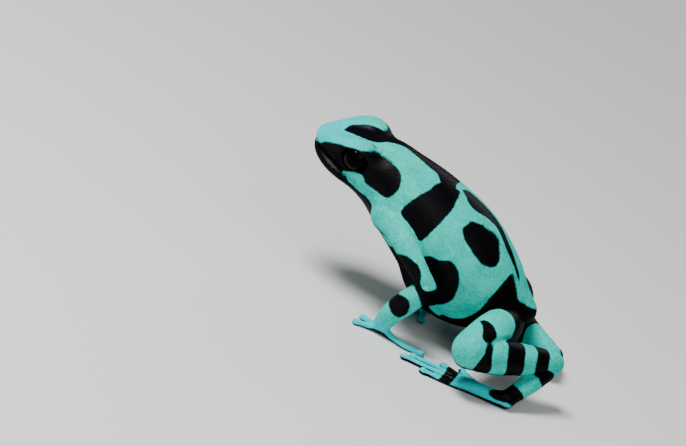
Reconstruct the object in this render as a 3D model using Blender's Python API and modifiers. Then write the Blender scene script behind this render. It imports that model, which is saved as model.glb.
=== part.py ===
"""Green and black poison dart frog, life size, sitting with its head raised.

The frog looks along -X and its left side is at -Y. The ground is z = 0. The body is
described as one smooth skin over named rounded forms, meshed whole, and parted at its
joints with thin cuts. Lengths are in millimetres and become metres when a mesh is made.
"""
import math

import bmesh
import bpy
import numpy as np
from mathutils import Matrix, Vector

MM = 0.001

# Driving sizes
SNOUT_TO_VENT = 38.0
MODELLED_SNOUT_TO_VENT = 38.0
JOINT_GAP = 0.3
EYE_RADIUS = 1.85

# Metres for each millimetre of the stations below, and the move that centres the frog
SCALE = MM * SNOUT_TO_VENT / MODELLED_SNOUT_TO_VENT
CENTRE_MOVE = np.array([0.2, 1.0, 0.0])

LEFT = -1.0
RIGHT = 1.0

# Head: turned forms in a frame of its own, with x to the snout, y to the left, z up
HEAD_PLACE = np.array([-14.9, 0.15, 19.0])
HEAD_PITCH = math.radians(6.0)
HEAD_ROLL = math.radians(-11.5)
SKULL = ((-1.9, 0.0, -0.9), (5.1, 5.3, 3.0))
SNOUT = ((2.4, 0.0, -1.35), (3.4, 3.2, 1.75))
SNOUT_TIP = ((4.4, 0.0, -1.45), (1.7, 2.0, 1.35))
BROW = [(4.8, 1.0, -1.1, 0.85), (3.6, 2.0, -0.5, 1.25), (2.2, 2.9, 0.2, 1.45), (0.8, 3.5, 0.55, 1.5)]
JAW = ((-0.4, 0.0, -2.7), (6.2, 5.1, 1.75))
EYE_SIDE = 3.85
EYE_HEIGHT = 0.4
OPENING_SHIFT = np.array([0.15, 0.0, 0.05])
OPENING_OUT = 1.8
OPENING_RADII = (2.25, 1.7, 1.4)
LID_RADII = (2.7, 2.45, 2.15)
LID_INWARD = 0.5
DRUM_RADIUS = 0.95
MOUTH_CORNER = -4.2
MOUTH_HEIGHT = -2.35
MOUTH_RISE = 0.45
MOUTH_DEPTH = 0.22
MOUTH_WIDTH = 0.36
SNOUT_REACH = 10.0

# Trunk: stations along the middle of the body, each x, y, z and half its depth
TRUNK_WIDENING = 1.12
TRUNK = [
    (-9.6, 0.0, 16.8, 4.7),
    (-7.0, 0.0, 15.7, 5.5),
    (-3.3, 0.0, 14.1, 6.3),
    (1.0, 0.0, 12.0, 6.9),
    (5.3, 0.0, 9.8, 6.2),
    (9.0, 0.0, 8.6, 4.3),
    (12.7, 0.0, 8.4, 2.0),
]
BELLY_BULGE = ((3.0, 0.0, 7.4), (6.5, 5.0, 4.6))
BELLY_BLEND = 2.0

# Limbs: stations, each x, y, z and radius
THIGH = {
    LEFT: [(12.0, -3.4, 7.1, 2.0), (11.3, -7.2, 7.4, 2.7), (10.2, -11.4, 7.1, 2.65),
           (9.0, -15.4, 6.2, 2.35)],
    RIGHT: [(12.0, 3.4, 7.4, 2.0), (10.6, 7.0, 7.5, 2.7), (8.4, 10.6, 6.8, 2.7), (6.4, 13.5, 5.3, 2.3)],
}
SHANK = {
    LEFT: [(9.0, -15.7, 5.8, 2.1), (12.2, -13.2, 5.9, 2.3), (15.6, -10.2, 6.1, 2.05),
           (19.2, -7.0, 6.2, 1.6)],
    RIGHT: [(6.4, 13.7, 4.9, 2.15), (10.6, 10.8, 4.1, 2.15), (14.6, 7.1, 3.5, 1.85), (18.6, 3.4, 3.3, 1.5)],
}
TARSUS = {
    LEFT: [(19.2, -7.0, 5.9, 1.5), (17.8, -9.8, 3.6, 1.35), (16.0, -12.6, 1.3, 1.05)],
    RIGHT: [(18.6, 3.4, 3.1, 1.4), (19.2, 7.0, 2.1, 1.2), (17.2, 10.4, 1.2, 1.05)],
}
UPPER_ARM = {
    LEFT: [(-8.2, -4.8, 13.6, 1.9), (-5.4, -7.2, 12.8, 1.6), (-2.0, -9.4, 11.0, 1.35),
           (0.8, -10.0, 9.2, 1.0)],
    RIGHT: [(-8.2, 4.8, 14.0, 1.9), (-5.0, 7.6, 12.8, 1.7), (-1.4, 9.5, 10.6, 1.45), (1.4, 9.9, 8.6, 1.0)],
}
FOREARM = {
    LEFT: [(0.4, -10.0, 8.6, 1.25), (-0.8, -9.6, 6.3, 1.6), (-2.1, -9.1, 3.6, 1.45),
           (-2.7, -8.5, 1.4, 1.15)],
    RIGHT: [(1.4, 9.9, 8.2, 1.1), (1.1, 8.9, 5.8, 1.5), (0.8, 6.9, 3.4, 1.45), (0.6, 5.5, 1.5, 1.2)],
}
FINGERS = {
    LEFT: [
        [(-2.6, -8.4, 1.1, 0.75), (-2.8, -7.0, 0.55, 0.42), (-3.3, -5.6, 0.34, 0.36)],
        [(-2.6, -8.4, 1.1, 0.75), (-3.8, -7.6, 0.55, 0.42), (-5.3, -6.8, 0.34, 0.36)],
        [(-2.6, -8.5, 1.1, 0.75), (-4.0, -8.9, 0.55, 0.42), (-5.8, -9.3, 0.34, 0.36)],
        [(-2.5, -8.6, 1.1, 0.75), (-0.9, -8.9, 0.5, 0.42), (1.1, -9.6, 0.38, 0.38), (3.4, -9.4, 0.34, 0.36)],
    ],
    RIGHT: [
        [(0.6, 5.0, 1.1, 0.75), (1.2, 3.6, 0.55, 0.42), (1.4, 1.8, 0.34, 0.36)],
        [(0.6, 5.0, 1.1, 0.75), (-0.6, 4.0, 0.55, 0.42), (-2.3, 3.0, 0.34, 0.36)],
        [(0.6, 5.1, 1.1, 0.75), (-0.7, 5.3, 0.55, 0.42), (-2.2, 5.7, 0.34, 0.36)],
        [(0.6, 5.2, 1.1, 0.75), (1.2, 6.3, 0.5, 0.42), (2.4, 7.8, 0.34, 0.36)],
    ],
}
TOES = {
    LEFT: [
        [(15.9, -12.5, 1.0, 0.9), (13.2, -12.3, 0.75, 0.65), (11.2, -10.4, 0.42, 0.42),
         (9.3, -8.6, 0.34, 0.36)],
        [(15.9, -12.6, 1.0, 0.9), (12.4, -12.6, 0.8, 0.75), (9.7, -11.2, 0.48, 0.45),
         (6.8, -9.6, 0.34, 0.36)],
        [(15.9, -12.7, 1.0, 0.9), (11.6, -12.9, 0.8, 0.8), (8.0, -11.9, 0.5, 0.45),
         (5.2, -11.4, 0.38, 0.38), (2.8, -11.5, 0.34, 0.36)],
        [(15.9, -12.8, 1.0, 0.9), (11.6, -13.3, 0.8, 0.8), (8.2, -13.1, 0.55, 0.46),
         (4.8, -12.9, 0.38, 0.38), (1.8, -12.9, 0.34, 0.36)],
        [(15.9, -12.9, 1.0, 0.9), (11.6, -13.4, 0.8, 0.75), (8.4, -14.2, 0.48, 0.43),
         (4.8, -14.5, 0.34, 0.36)],
    ],
    RIGHT: [
        [(17.0, 10.3, 1.0, 0.85), (14.6, 9.6, 0.65, 0.5), (13.2, 8.6, 0.42, 0.4), (12.3, 7.4, 0.34, 0.36)],
        [(17.0, 10.4, 1.0, 0.85), (13.6, 10.5, 0.75, 0.65), (11.6, 9.8, 0.46, 0.42),
         (9.8, 8.4, 0.34, 0.36)],
        [(17.0, 10.5, 1.0, 0.85), (13.2, 11.1, 0.8, 0.75), (10.2, 11.2, 0.48, 0.45),
         (6.4, 10.9, 0.34, 0.36)],
        [(17.0, 10.6, 1.0, 0.85), (12.8, 11.7, 0.8, 0.75), (9.4, 12.5, 0.5, 0.45),
         (6.6, 13.2, 0.38, 0.4), (4.0, 13.6, 0.34, 0.36)],
        [(17.0, 10.7, 1.0, 0.85), (13.2, 12.4, 0.75, 0.65), (10.6, 13.7, 0.46, 0.42),
         (7.8, 15.3, 0.34, 0.36)],
    ],
}

DISC_RADII = (0.55, 0.55, 0.37)

# Joint cuts: a place and the way it faces, or shares of the way between two stations
NECK_CUT = (-11.2, 0.0, 17.0)
NECK_NORMAL = (1.0, 0.0, -0.05)
SHOULDER_SHARE = 0.7
HIP_SHARE = 0.9
WRIST_SHARE = 0.8
CUT_LEANS = (-25.0, 0.0, 25.0)
CUT_CORNERS = 24
CUT_STEP = 0.2
FOLD_SPAN = 3
CUT_CLEAR = 0.15
CUT_MARGIN = 0.35
GROUND_SIZE = 60.0

# Mesh fineness, in millimetres and triangles
BODY_VOXEL = 0.3
BODY_TRIANGLES = 10500
SHARP_ANGLE = math.radians(50.0)

SKIN_COLOUR = (0.08, 0.62, 0.50)
SKIN_ROUGHNESS = 0.45
EYE_COLOUR = (0.012, 0.010, 0.010)
EYE_ROUGHNESS = 0.08

# Spread of the fold of skin at each joint
SOFT = 1.6
TIGHT = 0.12


def rotation(yaw=0.0, pitch=0.0, roll=0.0):
    """Columns are the turned x, y and z axes."""
    turn = Matrix.Rotation(yaw, 3, "Z") @ Matrix.Rotation(pitch, 3, "Y") @ Matrix.Rotation(roll, 3, "X")
    return np.array(turn)


# The head's own axes: x to the snout, which points along -X in the world
HEAD_AXES = rotation(math.pi) @ rotation(0.0, -HEAD_PITCH, 0.0) @ rotation(0.0, 0.0, HEAD_ROLL)


def head_point(x, y, z):
    return HEAD_PLACE + HEAD_AXES @ np.array([x, y, z])


def smooth_path(stations, steps=4):
    """Stations joined by a smooth curve, with a few points between each pair."""
    points = np.array(stations, float)
    padded = np.vstack([2 * points[0] - points[1], points, 2 * points[-1] - points[-2]])
    result = []
    for i in range(1, len(points)):
        before, start, end, after = padded[i - 1], padded[i], padded[i + 1], padded[i + 2]
        for t in np.linspace(0.0, 1.0, steps, endpoint=False):
            result.append(0.5 * (2 * start + (end - before) * t
                                 + (2 * before - 5 * start + 4 * end - after) * t ** 2
                                 + (3 * start - before - 3 * end + after) * t ** 3))
    result.append(points[-1])
    return np.array(result)


def ball(points, centre, radii, axes=None):
    """About the distance to an ellipsoid."""
    local = points - centre
    if axes is not None:
        local = local @ axes
    radii = np.asarray(radii, float)
    near = np.linalg.norm(local / radii, axis=1)
    slope = np.linalg.norm(local / radii ** 2, axis=1) + 1e-9
    return near * (near - 1.0) / slope


def tube(points, path):
    """Distance to a tube of changing radius along a path of x, y, z, radius."""
    best = np.full(len(points), 1e3)
    for start, end in zip(path[:-1], path[1:]):
        along = end[:3] - start[:3]
        offset = points - start[:3]
        t = np.clip(offset @ along / (along @ along), 0.0, 1.0)
        gap = np.linalg.norm(offset - t[:, None] * along, axis=1)
        best = np.minimum(best, gap - (start[3] + t * (end[3] - start[3])))
    return best


def join(first, second, width):
    """Smooth union of two distances."""
    h = np.clip(0.5 + 0.5 * (second - first) / width, 0.0, 1.0)
    return second + (first - second) * h - width * h * (1.0 - h)


def carve(solid, hollow, width):
    """Smooth removal of the second form from the first."""
    return -join(-solid, hollow, width)


def width_near(points, place, reach, widest=SOFT, least=TIGHT):
    """Blending width that is wide round one place and tight elsewhere."""
    gap = np.linalg.norm(points - np.asarray(place[:3]), axis=1)
    return least + (widest - least) * np.exp(-(gap / reach) ** 2)


def trunk_field(points):
    stretched = points * np.array([1.0, 1.0 / TRUNK_WIDENING, 1.0])
    place, radii = BELLY_BULGE
    return join(tube(stretched, smooth_path(TRUNK, 8)), ball(points, np.array(place), radii), BELLY_BLEND)


def press(field, distance, depth, spread):
    """Skin pressed in, or raised where the depth is negative, near a line or point."""
    return field + depth * np.exp(-(distance / spread) ** 2)


def eye_place(side):
    """Centre of an eyeball; side is LEFT or RIGHT."""
    return head_point(0.0, -side * EYE_SIDE, EYE_HEIGHT)


def mouth_gap(local):
    """Height above the line of the mouth, which drops a little at its corners."""
    x, y, z = local.T
    return z - MOUTH_HEIGHT - MOUTH_RISE * np.clip(x - MOUTH_CORNER, 0.0, None) / SNOUT_REACH


def head_field(points):
    local = (points - HEAD_PLACE) @ HEAD_AXES
    forms = (SKULL, SNOUT, SNOUT_TIP, JAW)
    skull, snout, tip, jaw = (ball(local, np.array(place), radii) for place, radii in forms)
    field = join(skull, join(snout, tip, 1.0), 1.8)
    for side in (LEFT, RIGHT):
        brow = [(x, -side * y, z, r) for x, y, z, r in BROW]
        field = join(field, tube(local, smooth_path(brow, 4)), 0.9)
    field = join(field, jaw, 1.0)
    for side in (LEFT, RIGHT):
        eye = np.array([0.0, -side * EYE_SIDE, EYE_HEIGHT])
        inward = np.array([0.0, side, 0.0])
        lid = ball(local, eye + LID_INWARD * inward, LID_RADII)
        field = join(field, lid, 0.7)
        opening = ball(local, eye - OPENING_OUT * inward + OPENING_SHIFT, OPENING_RADII)
        field = carve(field, opening, 0.3)
        nostril = np.linalg.norm(local - np.array([4.9, -side * 1.55, -0.55]), axis=1)
        field = press(field, nostril, 0.45, 0.3)
        drum = np.linalg.norm(local - np.array([-4.0, -side * 5.2, -0.6]), axis=1)
        field = press(field, np.abs(drum - DRUM_RADIUS), 0.16, 0.25)
    x = local[:, 0]
    inside_mouth = np.clip((x - MOUTH_CORNER) / 0.6, 0.0, 1.0)
    gap = mouth_gap(local)
    field = field + inside_mouth * MOUTH_DEPTH * np.exp(-(gap / MOUTH_WIDTH) ** 2)
    return field - inside_mouth * 0.1 * np.exp(-((gap - 0.65) / 0.4) ** 2)


def within(points, paths, form, margin=3.0):
    """The field of a form, worked out only near the box round its paths."""
    stations = np.vstack([np.array(path, float) for path in paths])
    low = (stations[:, :3] - stations[:, 3:]).min(axis=0) - margin
    high = (stations[:, :3] + stations[:, 3:]).max(axis=0) + margin
    close = np.all((points > low) & (points < high), axis=1)
    result = np.full(len(points), margin)
    result[close] = form(points[close])
    return result


def digits_field(points, digits):
    """Fingers or toes, each ending in a small disc."""
    field = None
    for stations in digits:
        path = smooth_path(stations, 3)
        disc = ball(points, path[-1, :3], DISC_RADII)
        digit = join(tube(points, path), disc, 0.25)
        field = digit if field is None else join(field, digit, 0.25)
    return field


def leg_field(points, side):
    thigh = tube(points, smooth_path(THIGH[side]))
    shank = tube(points, smooth_path(SHANK[side]))
    tarsus = tube(points, smooth_path(TARSUS[side]))
    leg = join(thigh, shank, width_near(points, SHANK[side][0], 2.2))
    leg = join(leg, tarsus, width_near(points, TARSUS[side][0], 1.6, 1.2))
    foot = within(points, TOES[side], lambda near: digits_field(near, TOES[side]), 1.5)
    return join(leg, foot, width_near(points, TARSUS[side][-1], 1.6, 0.8))


def arm_field(points, side):
    upper = tube(points, smooth_path(UPPER_ARM[side]))
    fore = tube(points, smooth_path(FOREARM[side]))
    arm = join(upper, fore, width_near(points, FOREARM[side][0], 1.5, 0.8))
    hand = within(points, FINGERS[side], lambda near: digits_field(near, FINGERS[side]), 1.5)
    return join(arm, hand, width_near(points, FOREARM[side][-1], 1.3, 0.8))


def body_field(points):
    """Signed distance to the frog's skin, negative inside."""
    field = join(trunk_field(points), head_field(points), 2.2)
    for side in (LEFT, RIGHT):
        leg_paths = [THIGH[side], SHANK[side], TARSUS[side]] + TOES[side]
        arm_paths = [UPPER_ARM[side], FOREARM[side]] + FINGERS[side]
        leg = within(points, leg_paths, lambda near: leg_field(near, side))
        arm = within(points, arm_paths, lambda near: arm_field(near, side))
        field = join(field, leg, width_near(points, THIGH[side][0], 3.0, 1.4, 0.25))
        field = join(field, arm, width_near(points, UPPER_ARM[side][0], 3.5, 2.0, 0.3))
    return field


def gradient(points, field, step=0.02):
    slopes = []
    for axis in range(3):
        shift = np.zeros(3)
        shift[axis] = step
        slopes.append((body_field(points + shift) - field) / step)
    return np.stack(slopes, axis=1)


def strung_balls():
    """Centre and three radii of balls that fill every form."""
    balls = [(x, y, z, r, r * TRUNK_WIDENING, r) for x, y, z, r in smooth_path(TRUNK, 4)]
    balls.append((*BELLY_BULGE[0], *BELLY_BULGE[1]))
    for place, radii in (SKULL, SNOUT, SNOUT_TIP, JAW):
        balls.append((*head_point(*place), *radii))
    for side in (LEFT, RIGHT):
        balls.append((*eye_place(side), 2.2, 1.9, 2.0))
        balls += [(*head_point(x, -side * y, z), r, r, r) for x, y, z, r in smooth_path(BROW, 6)]
    for side in (LEFT, RIGHT):
        paths = [THIGH[side], SHANK[side], TARSUS[side], UPPER_ARM[side], FOREARM[side]]
        for stations in paths + TOES[side] + FINGERS[side]:
            balls += [(x, y, z, r, r, r) for x, y, z, r in smooth_path(stations, 10)]
    return np.array(balls)


def rough_body(voxel):
    """Copies of one small sphere strung along every path and fused by a voxel remesh."""
    sphere = bmesh.new()
    bmesh.ops.create_icosphere(sphere, subdivisions=2, radius=1.0)
    corners = np.array([corner.co for corner in sphere.verts])
    faces = np.array([[corner.index for corner in face.verts] for face in sphere.faces])
    sphere.free()
    balls = strung_balls()
    points = balls[:, None, :3] + corners[None] * balls[:, None, 3:]
    numbers = faces[None] + len(corners) * np.arange(len(balls))[:, None, None]
    data = bpy.data.meshes.new("rough_body")
    data.from_pydata(points.reshape(-1, 3), [], numbers.reshape(-1, 3).tolist())
    thing = bpy.data.objects.new("rough_body", data)
    bpy.context.scene.collection.objects.link(thing)
    add_remesh(thing, voxel)
    return thing


def add_remesh(thing, voxel):
    remesh = thing.modifiers.new("Fuse", "REMESH")
    remesh.mode = "VOXEL"
    remesh.voxel_size = voxel


def apply_modifiers(thing):
    bpy.context.view_layer.update()
    evaluated = thing.evaluated_get(bpy.context.evaluated_depsgraph_get())
    data = bpy.data.meshes.new_from_object(evaluated)
    thing.modifiers.clear()
    old = thing.data
    thing.data = data
    bpy.data.meshes.remove(old)
    return thing


def coordinates(data):
    flat = np.empty(len(data.vertices) * 3, dtype=np.float32)
    data.vertices.foreach_get("co", flat)
    return flat.reshape(-1, 3).astype(float)


def set_coordinates(data, points):
    data.vertices.foreach_set("co", points.astype(np.float32).ravel())
    data.update()


def relax(data, points, rounds):
    """Each point moves towards the middle of its neighbours."""
    edges = np.empty(len(data.edges) * 2, dtype=np.int64)
    data.edges.foreach_get("vertices", edges)
    edges = edges.reshape(-1, 2)
    counts = np.bincount(edges.ravel(), minlength=len(points))[:, None]
    for _ in range(rounds):
        total = np.zeros_like(points)
        np.add.at(total, edges[:, 0], points[edges[:, 1]])
        np.add.at(total, edges[:, 1], points[edges[:, 0]])
        points = 0.5 * points + 0.5 * total / np.maximum(counts, 1)
    return points


def pull_to_skin(data, rounds=5, smoothing=1):
    points = coordinates(data)
    for turn in range(rounds):
        if turn < rounds - 1:
            points = relax(data, points, smoothing)
        field = body_field(points)
        slope = gradient(points, field)
        length = np.maximum((slope ** 2).sum(axis=1), 0.05)
        step = np.clip(field / length, -0.6, 0.6)
        points = points - step[:, None] * slope
    set_coordinates(data, points)


def clear_scene():
    for thing in list(bpy.data.objects):
        bpy.data.objects.remove(thing, do_unlink=True)


def whole_body(voxel=BODY_VOXEL):
    """The rough balls pulled onto the skin, fused once more to clear any fold, and pulled again."""
    thing = rough_body(voxel)
    apply_modifiers(thing)
    pull_to_skin(thing.data)
    add_remesh(thing, voxel)
    apply_modifiers(thing)
    pull_to_skin(thing.data, rounds=2)
    return thing


def lighten(thing, triangles):
    """Fewer triangles where the skin is flatter."""
    bpy.context.view_layer.update()
    triangulate = thing.modifiers.new("Triangles", "TRIANGULATE")
    triangulate.quad_method = "BEAUTY"
    decimate = thing.modifiers.new("Lighten", "DECIMATE")
    decimate.ratio = triangles / (2.0 * len(thing.data.polygons))
    return apply_modifiers(thing)


def unit(vector):
    vector = np.asarray(vector, float)
    return vector / np.linalg.norm(vector)


def hide_in(collection, thing):
    for holder in list(thing.users_collection):
        holder.objects.unlink(thing)
    collection.objects.link(thing)
    thing.hide_render = True
    thing.display_type = "WIRE"


def leaning(facing, leans):
    """Directions leaning from one direction by two angles, with two directions across each."""
    facing = unit(facing)
    side = unit(np.cross(facing, (0.3, 0.2, 1.0)))
    third = np.cross(facing, side)
    normals = unit_rows(np.array([facing + math.tan(one) * side + math.tan(two) * third
                                  for one in leans for two in leans]))
    first = unit_rows(np.cross(normals, third))
    return normals, first, np.cross(normals, first)


def thinnest_cut(place, facing, slide, reach):
    """The smallest section of the skin near a place: centre, three axes and outline radii."""
    normals, first, second = leaning(facing, np.radians(CUT_LEANS if slide else (0.0,)))
    shifts = np.array([-slide, 0.0, slide] if slide else [0.0])
    centres = np.asarray(place, float) + np.repeat(shifts, len(normals))[:, None] * unit(facing)
    normals, first, second = (np.tile(axes, (len(shifts), 1)) for axes in (normals, first, second))
    angles = np.linspace(0.0, 2.0 * math.pi, CUT_CORNERS, endpoint=False)
    rays = (np.cos(angles)[None, :, None] * first[:, None] + np.sin(angles)[None, :, None] * second[:, None])
    steps = np.arange(1, int(reach / CUT_STEP) + 1) * CUT_STEP
    points = centres[:, None, None] + steps[None, None, :, None] * rays[:, :, None]
    outside = body_field(points.reshape(-1, 3)).reshape(points.shape[:3]) > CUT_CLEAR
    leaves = outside.any(axis=2).all(axis=1)
    ends = outside.argmax(axis=2)
    returns = np.array([[free_steps(ray, end) for ray, end in zip(rows, row_ends)]
                        for rows, row_ends in zip(outside, ends)])
    radii = steps[ends] + np.minimum(CUT_MARGIN, 0.5 * CUT_STEP * returns)
    areas = np.where(leaves, (steps[ends] ** 2).sum(axis=1), np.inf)
    best = areas.argmin()
    if not leaves[best]:
        raise ValueError("no section of the skin closes round this place")
    return centres[best], normals[best], first[best], second[best], radii[best]


def free_steps(ray, end):
    """How many steps in a row stay outside the skin."""
    inside = np.flatnonzero(~ray[end:])
    return inside[0] if len(inside) else len(ray) - end


def unit_rows(rows):
    return rows / np.linalg.norm(rows, axis=1)[:, None]


def add_cutter(cutters, name, place, facing, slide, reach):
    """A thin plate with the outline of the thinnest section near a place."""
    centre, normal, first, second, radii = thinnest_cut(place, facing, slide, reach)
    bpy.ops.mesh.primitive_circle_add(vertices=CUT_CORNERS, radius=1.0, fill_type="TRIFAN")
    plate = bpy.context.object
    plate.name = name
    angles = np.linspace(0.0, 2.0 * math.pi, CUT_CORNERS, endpoint=False)
    rim = centre + radii[:, None] * (np.cos(angles)[:, None] * first + np.sin(angles)[:, None] * second)
    corners = coordinates(plate.data)
    middle = np.linalg.norm(corners, axis=1) < 0.5
    turns = np.round(np.arctan2(corners[:, 1], corners[:, 0]) / (2.0 * math.pi) * CUT_CORNERS).astype(int)
    set_coordinates(plate.data, np.where(middle[:, None], centre, rim[turns % CUT_CORNERS]))
    thicken = plate.modifiers.new("Gap", "SOLIDIFY")
    thicken.thickness = JOINT_GAP
    thicken.offset = 0.0
    hide_in(cutters, plate)


def fold(first, second, inward):
    """A place inside the fold of two limbs, and the way a cut between them faces."""
    first, second = np.array(first, float)[:, :3], np.array(second, float)[:, :3]
    joint = 0.5 * (first[-1] + second[0])
    back, ahead = unit(first[-FOLD_SPAN] - joint), unit(second[FOLD_SPAN - 1] - joint)
    return joint + inward * unit(back + ahead), back - ahead


def between(stations, share):
    """A place between the first two stations, and the way from one to the other."""
    start, end = np.array(stations[0][:3]), np.array(stations[1][:3])
    return start + share * (end - start), end - start


def add_cutters(cutters):
    add_cutter(cutters, "cut_neck", NECK_CUT, NECK_NORMAL, 0.0, 9.0)
    for side, word in ((LEFT, "left"), (RIGHT, "right")):
        add_cutter(cutters, "cut_shoulder_" + word, *between(UPPER_ARM[side][1:], SHOULDER_SHARE), 1.2, 5.0)
        add_cutter(cutters, "cut_hip_" + word, *between(THIGH[side], HIP_SHARE), 1.2, 6.0)
        add_cutter(cutters, "cut_knee_" + word, *fold(THIGH[side], SHANK[side], 1.2), 0.0, 10.0)
        add_cutter(cutters, "cut_heel_" + word, *fold(SHANK[side], TARSUS[side], 0.8), 0.0, 8.0)
        add_cutter(cutters, "cut_ankle_" + word, *fold(TARSUS[side], TOES[side][2], 0.0), 0.3, 4.0)
        add_cutter(cutters, "cut_elbow_" + word, *fold(UPPER_ARM[side], FOREARM[side], 0.3), 0.0, 4.0)
        add_cutter(cutters, "cut_wrist_" + word, *between(FOREARM[side][-2:], WRIST_SHARE), 0.3, 3.5)
        bpy.ops.mesh.primitive_uv_sphere_add(segments=20, ring_count=12, radius=EYE_RADIUS + JOINT_GAP,
                                             location=Vector(eye_place(side)))
        socket = bpy.context.object
        socket.name = "socket_" + word
        hide_in(cutters, socket)
    bpy.ops.mesh.primitive_cube_add(size=GROUND_SIZE, location=(0.0, 0.0, -0.5 * GROUND_SIZE))
    bpy.context.object.name = "ground"
    hide_in(cutters, bpy.context.object)


def loose_pieces(data):
    """Sets of vertex numbers that hang together."""
    mesh = bmesh.new()
    mesh.from_mesh(data)
    mesh.verts.ensure_lookup_table()
    seen = np.zeros(len(mesh.verts), bool)
    pieces = []
    for start in mesh.verts:
        if seen[start.index]:
            continue
        seen[start.index] = True
        stack, piece = [start], []
        while stack:
            corner = stack.pop()
            piece.append(corner.index)
            for edge in corner.link_edges:
                other = edge.other_vert(corner)
                if not seen[other.index]:
                    seen[other.index] = True
                    stack.append(other)
        pieces.append(piece)
    mesh.free()
    return pieces


def node_fields():
    """Each node's name with the distance to its own form."""
    fields = {"head": head_field, "torso": trunk_field}
    for side, word in ((LEFT, "left"), (RIGHT, "right")):
        for name, path in (("thigh", THIGH), ("shank", SHANK), ("tarsus", TARSUS),
                           ("upper_arm", UPPER_ARM), ("forearm", FOREARM)):
            fields[f"{name}_{word}"] = lambda points, path=path[side]: tube(points, smooth_path(path))
        fields["foot_" + word] = lambda points, digits=TOES[side]: digits_field(points, digits)
        fields["hand_" + word] = lambda points, digits=FINGERS[side]: digits_field(points, digits)
    return fields


def part_body(body, frog):
    """One object for each piece that the cuts leave, named for the form it follows."""
    points = coordinates(body.data)
    fields = node_fields()
    owners = {}
    for piece in loose_pieces(body.data):
        corners = points[piece]
        name = min(fields, key=lambda one: np.mean(np.abs(fields[one](corners))))
        if name not in owners or len(piece) > len(owners[name]):
            owners[name] = piece
    for name, piece in owners.items():
        mesh = bmesh.new()
        mesh.from_mesh(body.data)
        mesh.verts.ensure_lookup_table()
        keep = set(piece)
        spare = [corner for corner in mesh.verts if corner.index not in keep]
        bmesh.ops.delete(mesh, geom=spare, context="VERTS")
        bmesh.ops.translate(mesh, vec=CENTRE_MOVE, verts=mesh.verts)
        bmesh.ops.scale(mesh, vec=(SCALE, SCALE, SCALE), verts=mesh.verts)
        data = bpy.data.meshes.new(name)
        mesh.to_mesh(data)
        mesh.free()
        data.shade_smooth()
        data.set_sharp_from_angle(angle=SHARP_ANGLE)
        thing = bpy.data.objects.new(name, data)
        frog.objects.link(thing)
        data.materials.append(material("skin_of_" + name, SKIN_COLOUR, SKIN_ROUGHNESS))


def material(name, colour, roughness):
    made = bpy.data.materials.new(name)
    made.use_nodes = True
    shader = made.node_tree.nodes["Principled BSDF"]
    shader.inputs["Base Color"].default_value = (*colour, 1.0)
    shader.inputs["Roughness"].default_value = roughness
    shader.inputs["Metallic"].default_value = 0.0
    return made


def add_eye(frog, side, word):
    bpy.ops.mesh.primitive_uv_sphere_add(segments=20, ring_count=12, radius=EYE_RADIUS * SCALE,
                                         location=Vector(eye_place(side) + CENTRE_MOVE) * SCALE)
    eye = bpy.context.object
    eye.name = "eye_" + word
    eye.data.name = eye.name
    for holder in list(eye.users_collection):
        holder.objects.unlink(eye)
    frog.objects.link(eye)
    eye.data.shade_smooth()
    eye.data.materials.append(material("eyeball_" + word, EYE_COLOUR, EYE_ROUGHNESS))


def main():
    clear_scene()
    frog = bpy.data.collections.new("poison_dart_frog")
    cutters = bpy.data.collections.new("cutters")
    bpy.context.scene.collection.children.link(frog)
    bpy.context.scene.collection.children.link(cutters)
    body = whole_body()
    lighten(body, BODY_TRIANGLES)
    add_cutters(cutters)
    cut = body.modifiers.new("Joints", "BOOLEAN")
    cut.operation = "DIFFERENCE"
    cut.operand_type = "COLLECTION"
    cut.collection = cutters
    cut.solver = "EXACT"
    apply_modifiers(body)
    part_body(body, frog)
    bpy.data.objects.remove(body, do_unlink=True)
    for side, word in ((LEFT, "left"), (RIGHT, "right")):
        add_eye(frog, side, word)


if __name__ == "__main__":
    main()
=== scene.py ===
import math

import bmesh
import bpy
import numpy as np
from bpy.props import FloatProperty, FloatVectorProperty, PointerProperty
from bpy.types import Operator, Panel, PropertyGroup
from mathutils import Matrix, Vector


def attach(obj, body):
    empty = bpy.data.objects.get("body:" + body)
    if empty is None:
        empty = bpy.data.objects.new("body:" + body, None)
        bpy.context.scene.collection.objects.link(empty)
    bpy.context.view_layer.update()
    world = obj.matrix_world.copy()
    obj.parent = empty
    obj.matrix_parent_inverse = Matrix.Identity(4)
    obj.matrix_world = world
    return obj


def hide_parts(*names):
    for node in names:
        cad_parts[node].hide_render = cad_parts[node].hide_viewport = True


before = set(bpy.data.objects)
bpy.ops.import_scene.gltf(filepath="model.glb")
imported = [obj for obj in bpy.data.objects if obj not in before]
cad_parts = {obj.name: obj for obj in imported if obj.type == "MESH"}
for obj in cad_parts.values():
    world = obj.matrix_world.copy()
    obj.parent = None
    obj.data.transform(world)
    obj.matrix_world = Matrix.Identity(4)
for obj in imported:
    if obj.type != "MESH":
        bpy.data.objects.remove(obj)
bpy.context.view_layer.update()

bl_info = {
    "name": "Green and Black Poison Dart Frog",
    "version": (1, 0, 0),
    "blender": (4, 5, 0),
    "location": "3D View > Sidebar > Frog",
    "description": "Dresses the solids of a sitting poison dart frog with skin, eyes and toe scutes",
    "category": "Object",
}

# The frog looks along -X, its left side is at -Y, and the ground is z = 0. Stations are
# in millimetres, before the move that centres the frog.
MM = 0.001
CENTRE_MOVE = np.array([0.2, 1.0, 0.0])
SKIN_VOXEL = 0.22

# Making the skin: widths over which forms blend, the reach of a search, and steps onto the skin
SOFT = 1.6
TIGHT = 0.12
NECK_BLEND = 2.2
DIGIT_BLEND = 0.25
DIGIT_MARGIN = 1.5
FAR_AWAY = 1e3
LEAST_SLOPE = 0.05
LONGEST_STEP = 0.6

LEFT = -1.0
RIGHT = 1.0

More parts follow.
